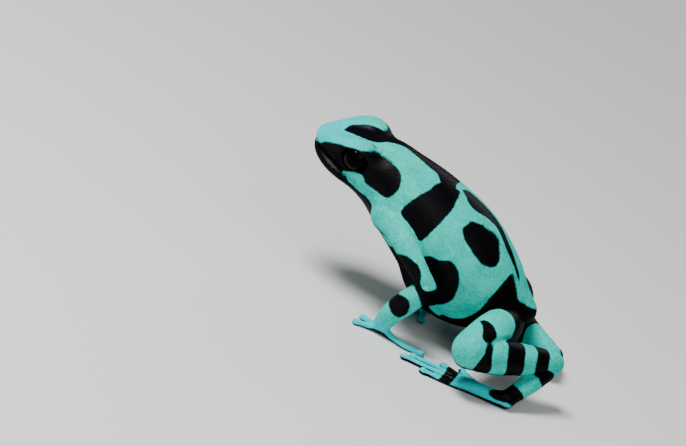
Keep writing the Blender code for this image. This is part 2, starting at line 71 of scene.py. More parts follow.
# Head: turned forms in a frame of its own, with x to the snout, y to the left, z up
HEAD_PLACE = np.array([-14.9, 0.15, 19.0])
HEAD_PITCH = math.radians(6.0)
HEAD_ROLL = math.radians(-11.5)
SKULL = ((-1.9, 0.0, -0.9), (5.1, 5.3, 3.0))
SNOUT = ((2.4, 0.0, -1.35), (3.4, 3.2, 1.75))
SNOUT_TIP = ((4.4, 0.0, -1.45), (1.7, 2.0, 1.35))
BROW = [(4.8, 1.0, -1.1, 0.85), (3.6, 2.0, -0.5, 1.25), (2.2, 2.9, 0.2, 1.45), (0.8, 3.5, 0.55, 1.5)]
JAW = ((-0.4, 0.0, -2.7), (6.2, 5.1, 1.75))
SNOUT_BLEND = 1.8
TIP_BLEND = 1.0
BROW_BLEND = 0.9
JAW_BLEND = 1.0

# Eye: its place, the eyeball's radius, a ball that fills its form, the way it looks, and the
# bulge over its pupil, as a share of the radius and an angle in radians
EYE = (0.0, 3.85, 0.4)
EYE_RADIUS = 1.85
EYE_FILLING = (2.2, 1.9, 2.0)
GAZE = (0.25, 1.0, 0.08)
BULGE_RISE = 0.05
BULGE_WIDTH = 0.55

# Lids: a ball over the eye, and the opening cut into it, further out than the eye
OPENING_SHIFT = np.array([0.15, 0.0, 0.05])
OPENING_OUT = 1.8
OPENING_RADII = (2.25, 1.7, 1.4)
OPENING_BLEND = 0.3
LID_RADII = (2.7, 2.45, 2.15)
LID_INWARD = 0.5
LID_BLEND = 0.7

# Nostril and ear drum: places, with the depth and width of the pit and of the drum's rim
NOSTRIL = (4.9, 1.55, -0.55)
NOSTRIL_DEPTH = 0.45
NOSTRIL_WIDTH = 0.3
DRUM = (-4.0, 5.2, -0.6)
DRUM_RADIUS = 0.95
DRUM_DEPTH = 0.16
DRUM_RIM = 0.25

# Line of the mouth, and the lip above it
MOUTH_CORNER = -4.2
MOUTH_HEIGHT = -2.35
MOUTH_RISE = 0.45
MOUTH_FADE = 0.6
MOUTH_DEPTH = 0.22
MOUTH_WIDTH = 0.36
LIP_HEIGHT = 0.65
LIP_RISE = 0.1
LIP_WIDTH = 0.4
SNOUT_REACH = 10.0

# Trunk: stations along the middle of the body, each x, y, z and half its depth
TRUNK_WIDENING = 1.12
TRUNK = [
    (-9.6, 0.0, 16.8, 4.7),
    (-7.0, 0.0, 15.7, 5.5),
    (-3.3, 0.0, 14.1, 6.3),
    (1.0, 0.0, 12.0, 6.9),
    (5.3, 0.0, 9.8, 6.2),
    (9.0, 0.0, 8.6, 4.3),
    (12.7, 0.0, 8.4, 2.0),
]
BELLY_BULGE = ((3.0, 0.0, 7.4), (6.5, 5.0, 4.6))
BELLY_BLEND = 2.0

# Limbs: stations, each x, y, z and radius
THIGH = {
    LEFT: [(12.0, -3.4, 7.1, 2.0), (11.3, -7.2, 7.4, 2.7), (10.2, -11.4, 7.1, 2.65),
           (9.0, -15.4, 6.2, 2.35)],
    RIGHT: [(12.0, 3.4, 7.4, 2.0), (10.6, 7.0, 7.5, 2.7), (8.4, 10.6, 6.8, 2.7), (6.4, 13.5, 5.3, 2.3)],
}
SHANK = {
    LEFT: [(9.0, -15.7, 5.8, 2.1), (12.2, -13.2, 5.9, 2.3), (15.6, -10.2, 6.1, 2.05),
           (19.2, -7.0, 6.2, 1.6)],
    RIGHT: [(6.4, 13.7, 4.9, 2.15), (10.6, 10.8, 4.1, 2.15), (14.6, 7.1, 3.5, 1.85), (18.6, 3.4, 3.3, 1.5)],
}
TARSUS = {
    LEFT: [(19.2, -7.0, 5.9, 1.5), (17.8, -9.8, 3.6, 1.35), (16.0, -12.6, 1.3, 1.05)],
    RIGHT: [(18.6, 3.4, 3.1, 1.4), (19.2, 7.0, 2.1, 1.2), (17.2, 10.4, 1.2, 1.05)],
}
UPPER_ARM = {
    LEFT: [(-8.2, -4.8, 13.6, 1.9), (-5.4, -7.2, 12.8, 1.6), (-2.0, -9.4, 11.0, 1.35),
           (0.8, -10.0, 9.2, 1.0)],
    RIGHT: [(-8.2, 4.8, 14.0, 1.9), (-5.0, 7.6, 12.8, 1.7), (-1.4, 9.5, 10.6, 1.45), (1.4, 9.9, 8.6, 1.0)],
}
FOREARM = {
    LEFT: [(0.4, -10.0, 8.6, 1.25), (-0.8, -9.6, 6.3, 1.6), (-2.1, -9.1, 3.6, 1.45),
           (-2.7, -8.5, 1.4, 1.15)],
    RIGHT: [(1.4, 9.9, 8.2, 1.1), (1.1, 8.9, 5.8, 1.5), (0.8, 6.9, 3.4, 1.45), (0.6, 5.5, 1.5, 1.2)],
}
FINGERS = {
    LEFT: [
        [(-2.6, -8.4, 1.1, 0.75), (-2.8, -7.0, 0.55, 0.42), (-3.3, -5.6, 0.34, 0.36)],
        [(-2.6, -8.4, 1.1, 0.75), (-3.8, -7.6, 0.55, 0.42), (-5.3, -6.8, 0.34, 0.36)],
        [(-2.6, -8.5, 1.1, 0.75), (-4.0, -8.9, 0.55, 0.42), (-5.8, -9.3, 0.34, 0.36)],
        [(-2.5, -8.6, 1.1, 0.75), (-0.9, -8.9, 0.5, 0.42), (1.1, -9.6, 0.38, 0.38), (3.4, -9.4, 0.34, 0.36)],
    ],
    RIGHT: [
        [(0.6, 5.0, 1.1, 0.75), (1.2, 3.6, 0.55, 0.42), (1.4, 1.8, 0.34, 0.36)],
        [(0.6, 5.0, 1.1, 0.75), (-0.6, 4.0, 0.55, 0.42), (-2.3, 3.0, 0.34, 0.36)],
        [(0.6, 5.1, 1.1, 0.75), (-0.7, 5.3, 0.55, 0.42), (-2.2, 5.7, 0.34, 0.36)],
        [(0.6, 5.2, 1.1, 0.75), (1.2, 6.3, 0.5, 0.42), (2.4, 7.8, 0.34, 0.36)],
    ],
}
TOES = {
    LEFT: [
        [(15.9, -12.5, 1.0, 0.9), (13.2, -12.3, 0.75, 0.65), (11.2, -10.4, 0.42, 0.42),
         (9.3, -8.6, 0.34, 0.36)],
        [(15.9, -12.6, 1.0, 0.9), (12.4, -12.6, 0.8, 0.75), (9.7, -11.2, 0.48, 0.45),
         (6.8, -9.6, 0.34, 0.36)],
        [(15.9, -12.7, 1.0, 0.9), (11.6, -12.9, 0.8, 0.8), (8.0, -11.9, 0.5, 0.45),
         (5.2, -11.4, 0.38, 0.38), (2.8, -11.5, 0.34, 0.36)],
        [(15.9, -12.8, 1.0, 0.9), (11.6, -13.3, 0.8, 0.8), (8.2, -13.1, 0.55, 0.46),
         (4.8, -12.9, 0.38, 0.38), (1.8, -12.9, 0.34, 0.36)],
        [(15.9, -12.9, 1.0, 0.9), (11.6, -13.4, 0.8, 0.75), (8.4, -14.2, 0.48, 0.43),
         (4.8, -14.5, 0.34, 0.36)],
    ],
    RIGHT: [
        [(17.0, 10.3, 1.0, 0.85), (14.6, 9.6, 0.65, 0.5), (13.2, 8.6, 0.42, 0.4), (12.3, 7.4, 0.34, 0.36)],
        [(17.0, 10.4, 1.0, 0.85), (13.6, 10.5, 0.75, 0.65), (11.6, 9.8, 0.46, 0.42),
         (9.8, 8.4, 0.34, 0.36)],
        [(17.0, 10.5, 1.0, 0.85), (13.2, 11.1, 0.8, 0.75), (10.2, 11.2, 0.48, 0.45),
         (6.4, 10.9, 0.34, 0.36)],
        [(17.0, 10.6, 1.0, 0.85), (12.8, 11.7, 0.8, 0.75), (9.4, 12.5, 0.5, 0.45),
         (6.6, 13.2, 0.38, 0.4), (4.0, 13.6, 0.34, 0.36)],
        [(17.0, 10.7, 1.0, 0.85), (13.2, 12.4, 0.75, 0.65), (10.6, 13.7, 0.46, 0.42),
         (7.8, 15.3, 0.34, 0.36)],
    ],
}

# Discs at the tips of fingers and toes, and the two scutes on each, from the disc's middle
DISC_RADII = (0.55, 0.55, 0.37)
SCUTE_AHEAD = 0.1
SCUTE_ASIDE = 0.24
SCUTE_LIFT = 0.01
SCUTE_THICKNESS = 0.42

# Outlines of the black blotches. On the head they are in its own frame: x, z from the side
# for the mask, and x, y from above for the crown. Above MASK_UPPER the mask keeps MASK_INNER
# from the face's middle line, less towards MASK_FRONT, and it ends where the trunk takes over.
MASK = [
    (7.5, -2.6), (5.7, -2.2), (4.6, -0.7), (3.0, 0.8), (1.4, 1.75), (0.2, 2.15), (-1.1, 2.3),
    (-2.1, 2.25), (-3.8, 2.3), (-5.1, 2.25), (-6.2, 1.7), (-6.7, 0.6), (-6.3, -0.6), (-5.6, -1.2),
    (-4.3, -1.2), (-2.7, -1.1), (-1.9, -0.5), (-1.3, -0.6), (-0.2, -1.1), (0.7, -1.95), (0.35, -2.4),
    (-0.9, -2.7), (-2.5, -2.9), (-3.6, -2.9), (-4.6, -3.2), (-5.7, -3.3), (-8.0, -3.8), (-8.0, -9.0),
    (7.5, -9.0),
]
CROWN = [
    (3.4, -0.2), (3.1, 0.2), (2.2, 0.5), (1.4, 0.8), (0.6, 1.1), (-0.5, 1.2), (-1.5, 0.9), (-2.2, 0.3),
    (-3.8, -0.2), (-5.2, -0.1), (-6.6, 0.3), (-8.3, 0.9), (-9.9, 1.2), (-10.7, 2.1), (-12.2, 3.2),
    (-13.3, 2.7), (-13.0, 1.4), (-12.8, 0.4), (-12.9, -0.9), (-13.0, -2.5), (-12.6, -3.3), (-11.6, -3.1),
    (-9.0, -2.3), (-6.0, -2.5), (-3.5, -2.8), (-2.6, -2.7), (-1.6, -2.5), (-0.5, -2.3), (0.6, -2.1),
    (1.9, -1.8), (2.8, -1.5), (3.2, -1.0),
]

MASK_INNER = 2.0
MASK_FRONT = 5.0
MASK_FADE = 2.5
MASK_UPPER = -2.2
MASK_END = 3.5
MASK_LIMIT = 5.0
CROWN_LOWEST = 0.3

# On the trunk they are x, z from the left side, and x, y from above for the streak. Along the
# back a band of green with wavy edges parts the two sides, and it ends at the black rump.
SHOULDER_BLOTCH = [
    (-4.0, 20.2), (-4.7, 19.2), (-5.5, 18.4), (-6.3, 17.0), (-7.0, 15.3), (-7.1, 14.4), (-6.5, 14.1),
    (-5.4, 13.9), (-4.4, 13.6), (-3.6, 13.3), (-2.9, 13.2), (-2.2, 14.7), (-1.6, 16.4), (-1.1, 17.8),
    (-0.9, 18.9), (-1.1, 19.9), (-1.4, 20.8),
]
FLANK_OVAL = [
    (1.3, 17.0), (2.2, 15.9), (3.8, 14.8), (5.5, 13.9), (6.9, 13.8), (7.4, 14.5), (6.8, 15.7),
    (6.0, 16.6), (4.5, 17.4), (3.0, 17.8), (1.8, 17.8),
]
LOW_FLANK_OVAL = [
    (-1.5, 12.0), (0.5, 12.4), (1.7, 12.9), (2.9, 12.4), (3.8, 11.1), (4.2, 8.8), (3.7, 7.1), (2.5, 5.9),
    (1.0, 4.5), (-3.0, 4.5), (-3.0, 9.0),
]
HIP_TRIANGLE = [
    (9.6, 13.4), (9.1, 12.6), (8.8, 11.6), (8.4, 10.4), (8.1, 9.1), (7.6, 7.6), (6.5, 6.0), (5.0, 4.9),
    (3.6, 4.6), (3.6, 2.0), (9.0, 2.0), (16.0, 2.0), (16.0, 9.4), (14.2, 9.7), (12.4, 10.2), (11.6, 10.8),
    (10.9, 11.8),
]
BACK_STREAK = [
    (-1.0, -0.6), (-0.1, -1.6), (0.8, -2.4), (2.0, -2.4), (3.1, -1.8), (4.3, -1.4), (5.4, -1.2),
    (6.6, -1.6), (7.8, -2.0), (9.3, -2.1), (10.6, -2.2), (10.6, -1.8), (9.7, -1.4), (8.4, -0.8),
    (7.1, -0.3), (6.0, 0.5), (4.5, 0.8), (3.5, 0.8), (2.1, 0.7), (0.9, 0.7), (-0.2, 0.5),
]

BACK_GREEN = 1.4
BACK_WAVE = 0.3
BACK_WAVE_RATE = 1.1
RUMP_TOP = 9.8
RUMP_GROWTH = 4.0
RUMP_FADE = 1.2
STREAK_LOWEST = 1.0

# Black of the belly: stations, each x, y, z and radius, with green patches in it and in the
# throat, each with its middle and radii
BELLY = [
    (-11.3, 0.0, 12.4, 2.6), (-8.9, 0.0, 10.6, 2.8), (-5.5, 0.0, 8.2, 4.2), (-1.6, 0.0, 5.6, 5.0),
    (3.2, 0.0, 4.0, 3.8), (8.2, 0.0, 4.4, 2.5),
]
BELLY_PATCHES = [
    ((-13.6, 0.5, 13.8), (1.5, 1.2, 1.4)), ((-8.3, -1.0, 10.3), (1.9, 1.5, 1.8)),
    ((-4.4, 1.5, 6.8), (1.8, 1.6, 1.8)), ((-0.6, -1.3, 4.4), (1.6, 1.3, 1.4)),
    ((4.0, 1.1, 3.1), (2.1, 1.4, 1.4)), ((8.4, -0.7, 3.6), (1.3, 1.2, 1.3)),
]

# Moves of the right side's blotches, so that it is no mirror of the left, and their growth
RIGHT_SIDE = [((-1.1, 0.3), 0.95), ((-0.7, 0.2), 1.1), ((0.8, -0.4), 0.95), ((-0.5, 0.2), 1.0)]

# Lengths go on past a limb's first and last station, for this share of its end stretches
BEFORE_START = -3.0
PAST_END = 4.0

# Rings of the limbs: middle and half width, in millimetres along the limb from its start,
# with edges that wave by RING_WAVE
RING_WAVE = 0.35
RING_WAVE_RATE = 1.3
SHANK_RINGS = [(1.1, 1.4), (6.2, 1.4), (10.75, 1.1)]
TARSUS_RINGS = [(1.9, 1.1), (7.9, 1.4)]
FOOT_RINGS = [(7.9, 0.75)]
FOREARM_RING = [(5.4, 1.5)]

# Ankle and foot: a black patch along stations ahead of the heel, outwards of it and up, with
# radii, the green above the sole on the lower half of the ankle, and where the toes start
ANKLE_PATCH = [(1.7, 1.6, 2.0, 1.0), (-0.9, -0.1, 2.4, 1.4)]
HEEL_TOP = 1.2
HEEL_SLOPE = 0.8
HEEL_START = 0.3
HEEL_LENGTH = 2.0
TARSUS_HALF = 5.0
TOES_START = 9.0

# Black of the thigh: its rear, as distance from the body's middle line and offset behind its axis,
# and a crescent, as offsets from the knee to the rear and to the middle line
THIGH_REAR = [
    (0.5, -3.0), (7.0, -2.2), (7.2, -1.2), (7.6, 0.0), (8.0, 0.8), (8.9, 1.9), (9.8, 2.4), (11.2, 2.8),
    (12.5, 3.4), (12.5, 5.0), (0.5, 5.0),
]
CRESCENT = [
    (-0.5, 2.8), (-0.1, 3.3), (0.4, 3.1), (1.6, 2.4), (2.3, 1.6), (2.0, 0.5), (1.4, -0.4), (0.7, -0.4),
    (0.4, 0.9), (-0.1, 2.0),
]
CRESCENT_LOWEST = 0.6

# Black of the arm and the chest from the side, and a spot on the outside of the left forearm
ARM_UNDERSIDE = [
    (-7.5, 8.8), (-5.9, 10.3), (-4.9, 11.0), (-4.1, 11.6), (-2.8, 11.8), (-1.5, 11.5), (-0.7, 10.5),
    (-0.3, 9.4), (0.8, 9.1), (1.8, 9.6), (2.8, 10.3), (3.2, 8.0), (2.5, 5.5), (1.3, 6.0), (0.7, 7.2),
    (0.0, 8.1), (-0.8, 8.6), (-1.6, 8.8), (-3.5, 8.6), (-6.0, 7.8),
]
CHEST = [
    (-15.5, 15.5), (-14.5, 15.3), (-13.0, 14.9), (-12.2, 14.4), (-11.4, 14.1), (-10.2, 13.5),
    (-9.7, 13.0), (-9.2, 12.2), (-8.6, 11.3), (-7.6, 10.3), (-6.6, 9.7), (-5.6, 10.3), (-4.8, 11.1),
    (-2.6, 11.2), (-1.8, 9.0), (-3.0, 6.0), (-6.0, 6.0), (-13.0, 9.0),
]
FOREARM_SPOT = [
    (-3.2, 5.6), (-3.0, 4.8), (-2.1, 4.2), (-1.0, 4.0), (-0.4, 4.7), (-0.3, 5.7), (-0.5, 6.5),
    (-1.1, 7.0), (-2.1, 6.8), (-2.9, 6.3),
]
SPOT_OUTWARD = 9.0

# Folds: depth in millimetres, how far from both skins they start and fade, and their shape
# across the joint as ridges and valleys of a height, place and width
FOLD_DEPTH = 0.13
FOLD_START = 0.4
FOLD_FADE = 0.8
FOLD_SHAPE = [(0.45, 0.75, 0.3), (-1.0, 0.0, 0.3), (-0.4, 1.45, 0.28)]

# Blends of paint between forms, and painted shade: black paint on skin that faces the ground, and on the
# flanks of the toes
VALUE_LIMIT = 3.0
BODY_SEAM = 0.22
LIMB_SEAM = 0.12
END_SEAM = 0.8
SHADE_STEEPNESS = 1.2
LIMB_SHADE_LIMIT = -0.72
SOLE_SHADE_LIMIT = -0.4
TOE_FLANK_SHADE = 0.55

# Blue in the green: round a place on the snout with its reach, and near the digits
BLUE_SNOUT = ((5.0, 0.0, -0.5), 4.2)
BLUE_DIGITS = 1.2

# Skin: scales of its grain, blotch edges, mixing of its colours, roughness, relief and shine
PEBBLE_SCALE = 3400.0
WRINKLE_SCALE = 500.0
WRINKLE_HEIGHT = 1.4
EDGE_FEATHER = 0.2
EDGE_WANDER = 0.35
EDGE_RANGE = (-0.09, 0.12)
GREEN_RANGE = (0.32, 0.6)
PALE_RANGE = (0.35, 0.66)
PALE_SHARE = 0.35
BLUE_SHARE = 0.6
BLACK_RANGE = (0.5, 0.75)
SMOOTHEST = 0.26
GRAIN_ROUGHNESS = 0.25
GREEN_ROUGHNESS = 0.06
GRAIN_STRENGTH = 0.34
GRAIN_HEIGHT = 0.00007
SHEEN = 0.08
SHEEN_POWER = 1.5
FAINT_SHINE = 0.06

# Eyes: rims of pupil and iris as angles from the pupil's middle, and flecks; then the scutes
PUPIL_RIM = (0.44, 0.52)
IRIS_RIM = (0.82, 0.95)
FLECK_SCALE = 4200.0
FLECK_RANGE = (0.35, 0.7)
EYE_ROUGHNESS = 0.06
SCUTE_GRAIN_SCALE = 3000.0
SCUTE_RANGE = (0.35, 0.65)
SCUTE_ROUGHNESS = 0.4


def rotation(yaw=0.0, pitch=0.0, roll=0.0):
    """Columns are the turned x, y and z axes."""
    turn = Matrix.Rotation(yaw, 3, "Z") @ Matrix.Rotation(pitch, 3, "Y") @ Matrix.Rotation(roll, 3, "X")
    return np.array(turn)


# The head's own axes: x to the snout, which points along -X in the world
HEAD_AXES = rotation(math.pi) @ rotation(0.0, -HEAD_PITCH, 0.0) @ rotation(0.0, 0.0, HEAD_ROLL)


def head_point(x, y, z):
    return HEAD_PLACE + HEAD_AXES @ np.array([x, y, z])


def sided(place, side):
    """A place on the left half of the head, or its twin on the right."""
    x, y, z = place
    return np.array([x, -side * y, z])


def smooth_path(stations, steps=4):
    """Stations joined by a smooth curve, with a few points between each pair."""
    points = np.array(stations, float)
    padded = np.vstack([2 * points[0] - points[1], points, 2 * points[-1] - points[-2]])
    result = []
    for i in range(1, len(points)):
        before, start, end, after = padded[i - 1], padded[i], padded[i + 1], padded[i + 2]
        for t in np.linspace(0.0, 1.0, steps, endpoint=False):
            result.append(0.5 * (2 * start + (end - before) * t
                                 + (2 * before - 5 * start + 4 * end - after) * t ** 2
                                 + (3 * start - before - 3 * end + after) * t ** 3))
    result.append(points[-1])
    return np.array(result)


def ball(points, centre, radii):
    """About the distance to an ellipsoid."""
    local = points - centre
    radii = np.asarray(radii, float)
    near = np.linalg.norm(local / radii, axis=1)
    slope = np.linalg.norm(local / radii ** 2, axis=1) + 1e-9
    return near * (near - 1.0) / slope


def tube(points, path):
    """Distance to a tube of changing radius along a path of x, y, z, radius."""
    best = np.full(len(points), FAR_AWAY)
    for start, end in zip(path[:-1], path[1:]):
        along = end[:3] - start[:3]
        offset = points - start[:3]
        t = np.clip(offset @ along / (along @ along), 0.0, 1.0)
        gap = np.linalg.norm(offset - t[:, None] * along, axis=1)
        best = np.minimum(best, gap - (start[3] + t * (end[3] - start[3])))
    return best


def limbs(points, side, *tables):
    """Distances to one side's limbs, each a tube through the stations of its table."""
    return [tube(points, smooth_path(table[side])) for table in tables]


def join(first, second, width):
    """Smooth union of two distances."""
    h = np.clip(0.5 + 0.5 * (second - first) / width, 0.0, 1.0)
    return second + (first - second) * h - width * h * (1.0 - h)


def carve(solid, hollow, width):
    """Smooth removal of the second form from the first."""
    return -join(-solid, hollow, width)


def width_near(points, place, reach, widest=SOFT, least=TIGHT):
    """Blending width that is wide round one place and tight elsewhere."""
    gap = np.linalg.norm(points - np.asarray(place[:3]), axis=1)
    return least + (widest - least) * np.exp(-(gap / reach) ** 2)


def trunk_field(points):
    stretched = points * np.array([1.0, 1.0 / TRUNK_WIDENING, 1.0])
    place, radii = BELLY_BULGE
    return join(tube(stretched, smooth_path(TRUNK, 8)), ball(points, np.array(place), radii), BELLY_BLEND)


def press(field, distance, depth, spread):
    """Skin pressed in, or raised where the depth is negative, near a line or point."""
    return field + depth * np.exp(-(distance / spread) ** 2)


def eye_place(side):
    """Centre of an eyeball; side is LEFT or RIGHT."""
    return head_point(*sided(EYE, side))


def mouth_gap(local):
    """Height above the line of the mouth, which drops a little at its corners."""
    x, y, z = local.T
    return z - MOUTH_HEIGHT - MOUTH_RISE * np.clip(x - MOUTH_CORNER, 0.0, None) / SNOUT_REACH


def head_field(points):
    local = (points - HEAD_PLACE) @ HEAD_AXES
    forms = (SKULL, SNOUT, SNOUT_TIP, JAW)
    skull, snout, tip, jaw = (ball(local, np.array(place), radii) for place, radii in forms)
    field = join(skull, join(snout, tip, TIP_BLEND), SNOUT_BLEND)
    for side in (LEFT, RIGHT):
        brow = [(*sided(place, side), radius) for *place, radius in BROW]
        field = join(field, tube(local, smooth_path(brow)), BROW_BLEND)
    field = join(field, jaw, JAW_BLEND)
    for side in (LEFT, RIGHT):
        eye = sided(EYE, side)
        inward = np.array([0.0, side, 0.0])
        lid = ball(local, eye + LID_INWARD * inward, LID_RADII)
        field = join(field, lid, LID_BLEND)
        opening = ball(local, eye - OPENING_OUT * inward + OPENING_SHIFT, OPENING_RADII)
        field = carve(field, opening, OPENING_BLEND)
        nostril = np.linalg.norm(local - sided(NOSTRIL, side), axis=1)
        field = press(field, nostril, NOSTRIL_DEPTH, NOSTRIL_WIDTH)
        drum = np.linalg.norm(local - sided(DRUM, side), axis=1)
        field = press(field, np.abs(drum - DRUM_RADIUS), DRUM_DEPTH, DRUM_RIM)
    inside_mouth = np.clip((local[:, 0] - MOUTH_CORNER) / MOUTH_FADE, 0.0, 1.0)
    gap = mouth_gap(local)
    field = press(field, gap, inside_mouth * MOUTH_DEPTH, MOUTH_WIDTH)
    return press(field, gap - LIP_HEIGHT, -inside_mouth * LIP_RISE, LIP_WIDTH)


def within(points, paths, form, margin=3.0):
    """The field of a form, worked out only near the box round its paths."""
    stations = np.vstack([np.array(path, float) for path in paths])
    low = (stations[:, :3] - stations[:, 3:]).min(axis=0) - margin
    high = (stations[:, :3] + stations[:, 3:]).max(axis=0) + margin
    close = np.all((points > low) & (points < high), axis=1)
    result = np.full(len(points), margin)
    result[close] = form(points[close])
    return result


def digits_field(points, digits):
    """Fingers or toes, each ending in a small disc."""
    field = None
    for stations in digits:
        path = smooth_path(stations, 3)
        disc = ball(points, path[-1, :3], DISC_RADII)
        digit = join(tube(points, path), disc, DIGIT_BLEND)
        field = digit if field is None else join(field, digit, DIGIT_BLEND)
    return field


def leg_field(points, side):
    thigh, shank, tarsus = limbs(points, side, THIGH, SHANK, TARSUS)
    leg = join(thigh, shank, width_near(points, SHANK[side][0], reach=2.2))
    leg = join(leg, tarsus, width_near(points, TARSUS[side][0], reach=1.6, widest=1.2))
    foot = within(points, TOES[side], lambda near: digits_field(near, TOES[side]), DIGIT_MARGIN)
    return join(leg, foot, width_near(points, TARSUS[side][-1], reach=1.6, widest=0.8))


def arm_field(points, side):
    upper, fore = limbs(points, side, UPPER_ARM, FOREARM)
    arm = join(upper, fore, width_near(points, FOREARM[side][0], reach=1.5, widest=0.8))
    hand = within(points, FINGERS[side], lambda near: digits_field(near, FINGERS[side]), DIGIT_MARGIN)
    return join(arm, hand, width_near(points, FOREARM[side][-1], reach=1.3, widest=0.8))


def body_field(points):
    """Signed distance to the frog's skin, negative inside."""
    field = join(trunk_field(points), head_field(points), NECK_BLEND)
    for side in (LEFT, RIGHT):
        leg_paths = [THIGH[side], SHANK[side], TARSUS[side], *TOES[side]]
        arm_paths = [UPPER_ARM[side], FOREARM[side], *FINGERS[side]]
        leg = within(points, leg_paths, lambda near: leg_field(near, side))
        arm = within(points, arm_paths, lambda near: arm_field(near, side))
        field = join(field, leg, width_near(points, THIGH[side][0], reach=3.0, widest=1.4, least=0.25))
        field = join(field, arm, width_near(points, UPPER_ARM[side][0], reach=3.5, widest=2.0, least=0.3))
    return field


def gradient(points, field, step=0.02):
    """Slope of the skin's distance along each axis."""
    slopes = [(body_field(points + step * axis) - field) / step for axis in np.eye(3)]
    return np.stack(slopes, axis=1)


def strung_balls():
    """Centre and three radii of balls that fill every form."""
    balls = [(x, y, z, r, r * TRUNK_WIDENING, r) for x, y, z, r in smooth_path(TRUNK)]
    balls.append((*BELLY_BULGE[0], *BELLY_BULGE[1]))
    for place, radii in (SKULL, SNOUT, SNOUT_TIP, JAW):
        balls.append((*head_point(*place), *radii))
    for side in (LEFT, RIGHT):
        balls.append((*eye_place(side), *EYE_FILLING))
        balls += [(*head_point(*sided(place, side)), r, r, r) for *place, r in smooth_path(BROW, 6)]
    for side in (LEFT, RIGHT):
        paths = [THIGH[side], SHANK[side], TARSUS[side], UPPER_ARM[side], FOREARM[side]]
        for stations in paths + TOES[side] + FINGERS[side]:
            balls += [(x, y, z, r, r, r) for x, y, z, r in smooth_path(stations, 10)]
    return np.array(balls)


def rough_body(voxel):
    """Copies of one small sphere strung along every path and fused by a voxel remesh."""
    sphere = bmesh.new()
    bmesh.ops.create_icosphere(sphere, subdivisions=2, radius=1.0)
    corners = np.array([corner.co for corner in sphere.verts])
    faces = np.array([[corner.index for corner in face.verts] for face in sphere.faces])
    sphere.free()
    balls = strung_balls()
    points = balls[:, None, :3] + corners[None] * balls[:, None, 3:]
    numbers = faces[None] + len(corners) * np.arange(len(balls))[:, None, None]
    data = bpy.data.meshes.new("rough_body")
    data.from_pydata(points.reshape(-1, 3), [], numbers.reshape(-1, 3).tolist())
    thing = link(bpy.data.objects.new("rough_body", data))
    fuse(thing, voxel)
    return thing


def fuse(thing, voxel):
    """Makes one closed mesh of all that overlaps, with points about a voxel apart."""
    remesh = thing.modifiers.new("Fuse", "REMESH")
    remesh.mode = "VOXEL"
    remesh.voxel_size = voxel
    bpy.context.view_layer.update()
    evaluated = thing.evaluated_get(bpy.context.evaluated_depsgraph_get())
    data = bpy.data.meshes.new_from_object(evaluated)
    thing.modifiers.clear()
    old = thing.data
    thing.data = data
    bpy.data.meshes.remove(old)


def vertex_values(data, key):
    """The places ("co") or normals ("normal") of a mesh's points."""
    flat = np.empty(len(data.vertices) * 3, dtype=np.float32)
    data.vertices.foreach_get(key, flat)
    return flat.reshape(-1, 3).astype(float)


def set_coordinates(data, points):
    data.vertices.foreach_set("co", points.astype(np.float32).ravel())
    data.update()


def relax(data, points):
    """Each point moves halfway to the middle of its neighbours."""
    edges = np.empty(len(data.edges) * 2, dtype=np.int64)
    data.edges.foreach_get("vertices", edges)
    edges = edges.reshape(-1, 2)
    counts = np.bincount(edges.ravel(), minlength=len(points))[:, None]
    total = np.zeros_like(points)
    np.add.at(total, edges[:, 0], points[edges[:, 1]])
    np.add.at(total, edges[:, 1], points[edges[:, 0]])
    return 0.5 * points + 0.5 * total / np.maximum(counts, 1)


def pull_to_skin(data, rounds):
    """Moves a mesh's points onto the skin in small steps, and evens them out in between."""
    points = vertex_values(data, "co")
    for turn in range(rounds):
        if turn < rounds - 1:
            points = relax(data, points)
        field = body_field(points)
        slope = gradient(points, field)
        length = np.maximum((slope ** 2).sum(axis=1), LEAST_SLOPE)
        step = np.clip(field / length, -LONGEST_STEP, LONGEST_STEP)
        points = points - step[:, None] * slope
    set_coordinates(data, points)


def whole_body(voxel):
    """The rough balls pulled onto the skin, fused once more to clear any fold, and pulled again."""
    thing = rough_body(voxel)
    pull_to_skin(thing.data, rounds=4)
    fuse(thing, voxel)
    pull_to_skin(thing.data, rounds=3)
    return thing


def outline_distance(flat, outline):
    """Distance in a plane to a closed outline, negative inside it."""
    corners = np.array(outline, float)
    nearest_gap = np.full(len(flat), FAR_AWAY)
    inside = np.zeros(len(flat), bool)
    for start, end in zip(corners, np.roll(corners, -1, axis=0)):
        along = end - start
        offset = flat - start
        t = np.clip(offset @ along / (along @ along), 0.0, 1.0)
        nearest_gap = np.minimum(nearest_gap, np.linalg.norm(offset - t[:, None] * along, axis=1))
        crosses = (start[1] > flat[:, 1]) != (end[1] > flat[:, 1])
        rise = along[1] if along[1] else 1e-9
        inside ^= crosses & (flat[:, 0] < start[0] + (flat[:, 1] - start[1]) * along[0] / rise)
    return np.where(inside, -nearest_gap, nearest_gap)


def rounded(outline):
    """The outline with its corners turned into a smooth closed curve."""
    steps = 3
    ring = np.column_stack([np.array(outline, float), np.zeros((len(outline), 2))])
    path = smooth_path(np.vstack([ring[-2:], ring, ring[:3]]), steps)
    return path[2 * steps:-3 * steps, :2]


def head_blotches(points):
    local = (points - HEAD_PLACE) @ HEAD_AXES
    x, y, z = local.T
    mask = outline_distance(local[:, [0, 2]], rounded(MASK))
    inner = MASK_INNER * np.clip((MASK_FRONT - x) / MASK_FADE, 0.0, 1.0) - np.abs(y)
    mask = np.where(z > MASK_UPPER, np.maximum(mask, inner), mask)
    crown = np.maximum(outline_distance(local[:, :2], rounded(CROWN)), CROWN_LOWEST - z)
    return mask, crown


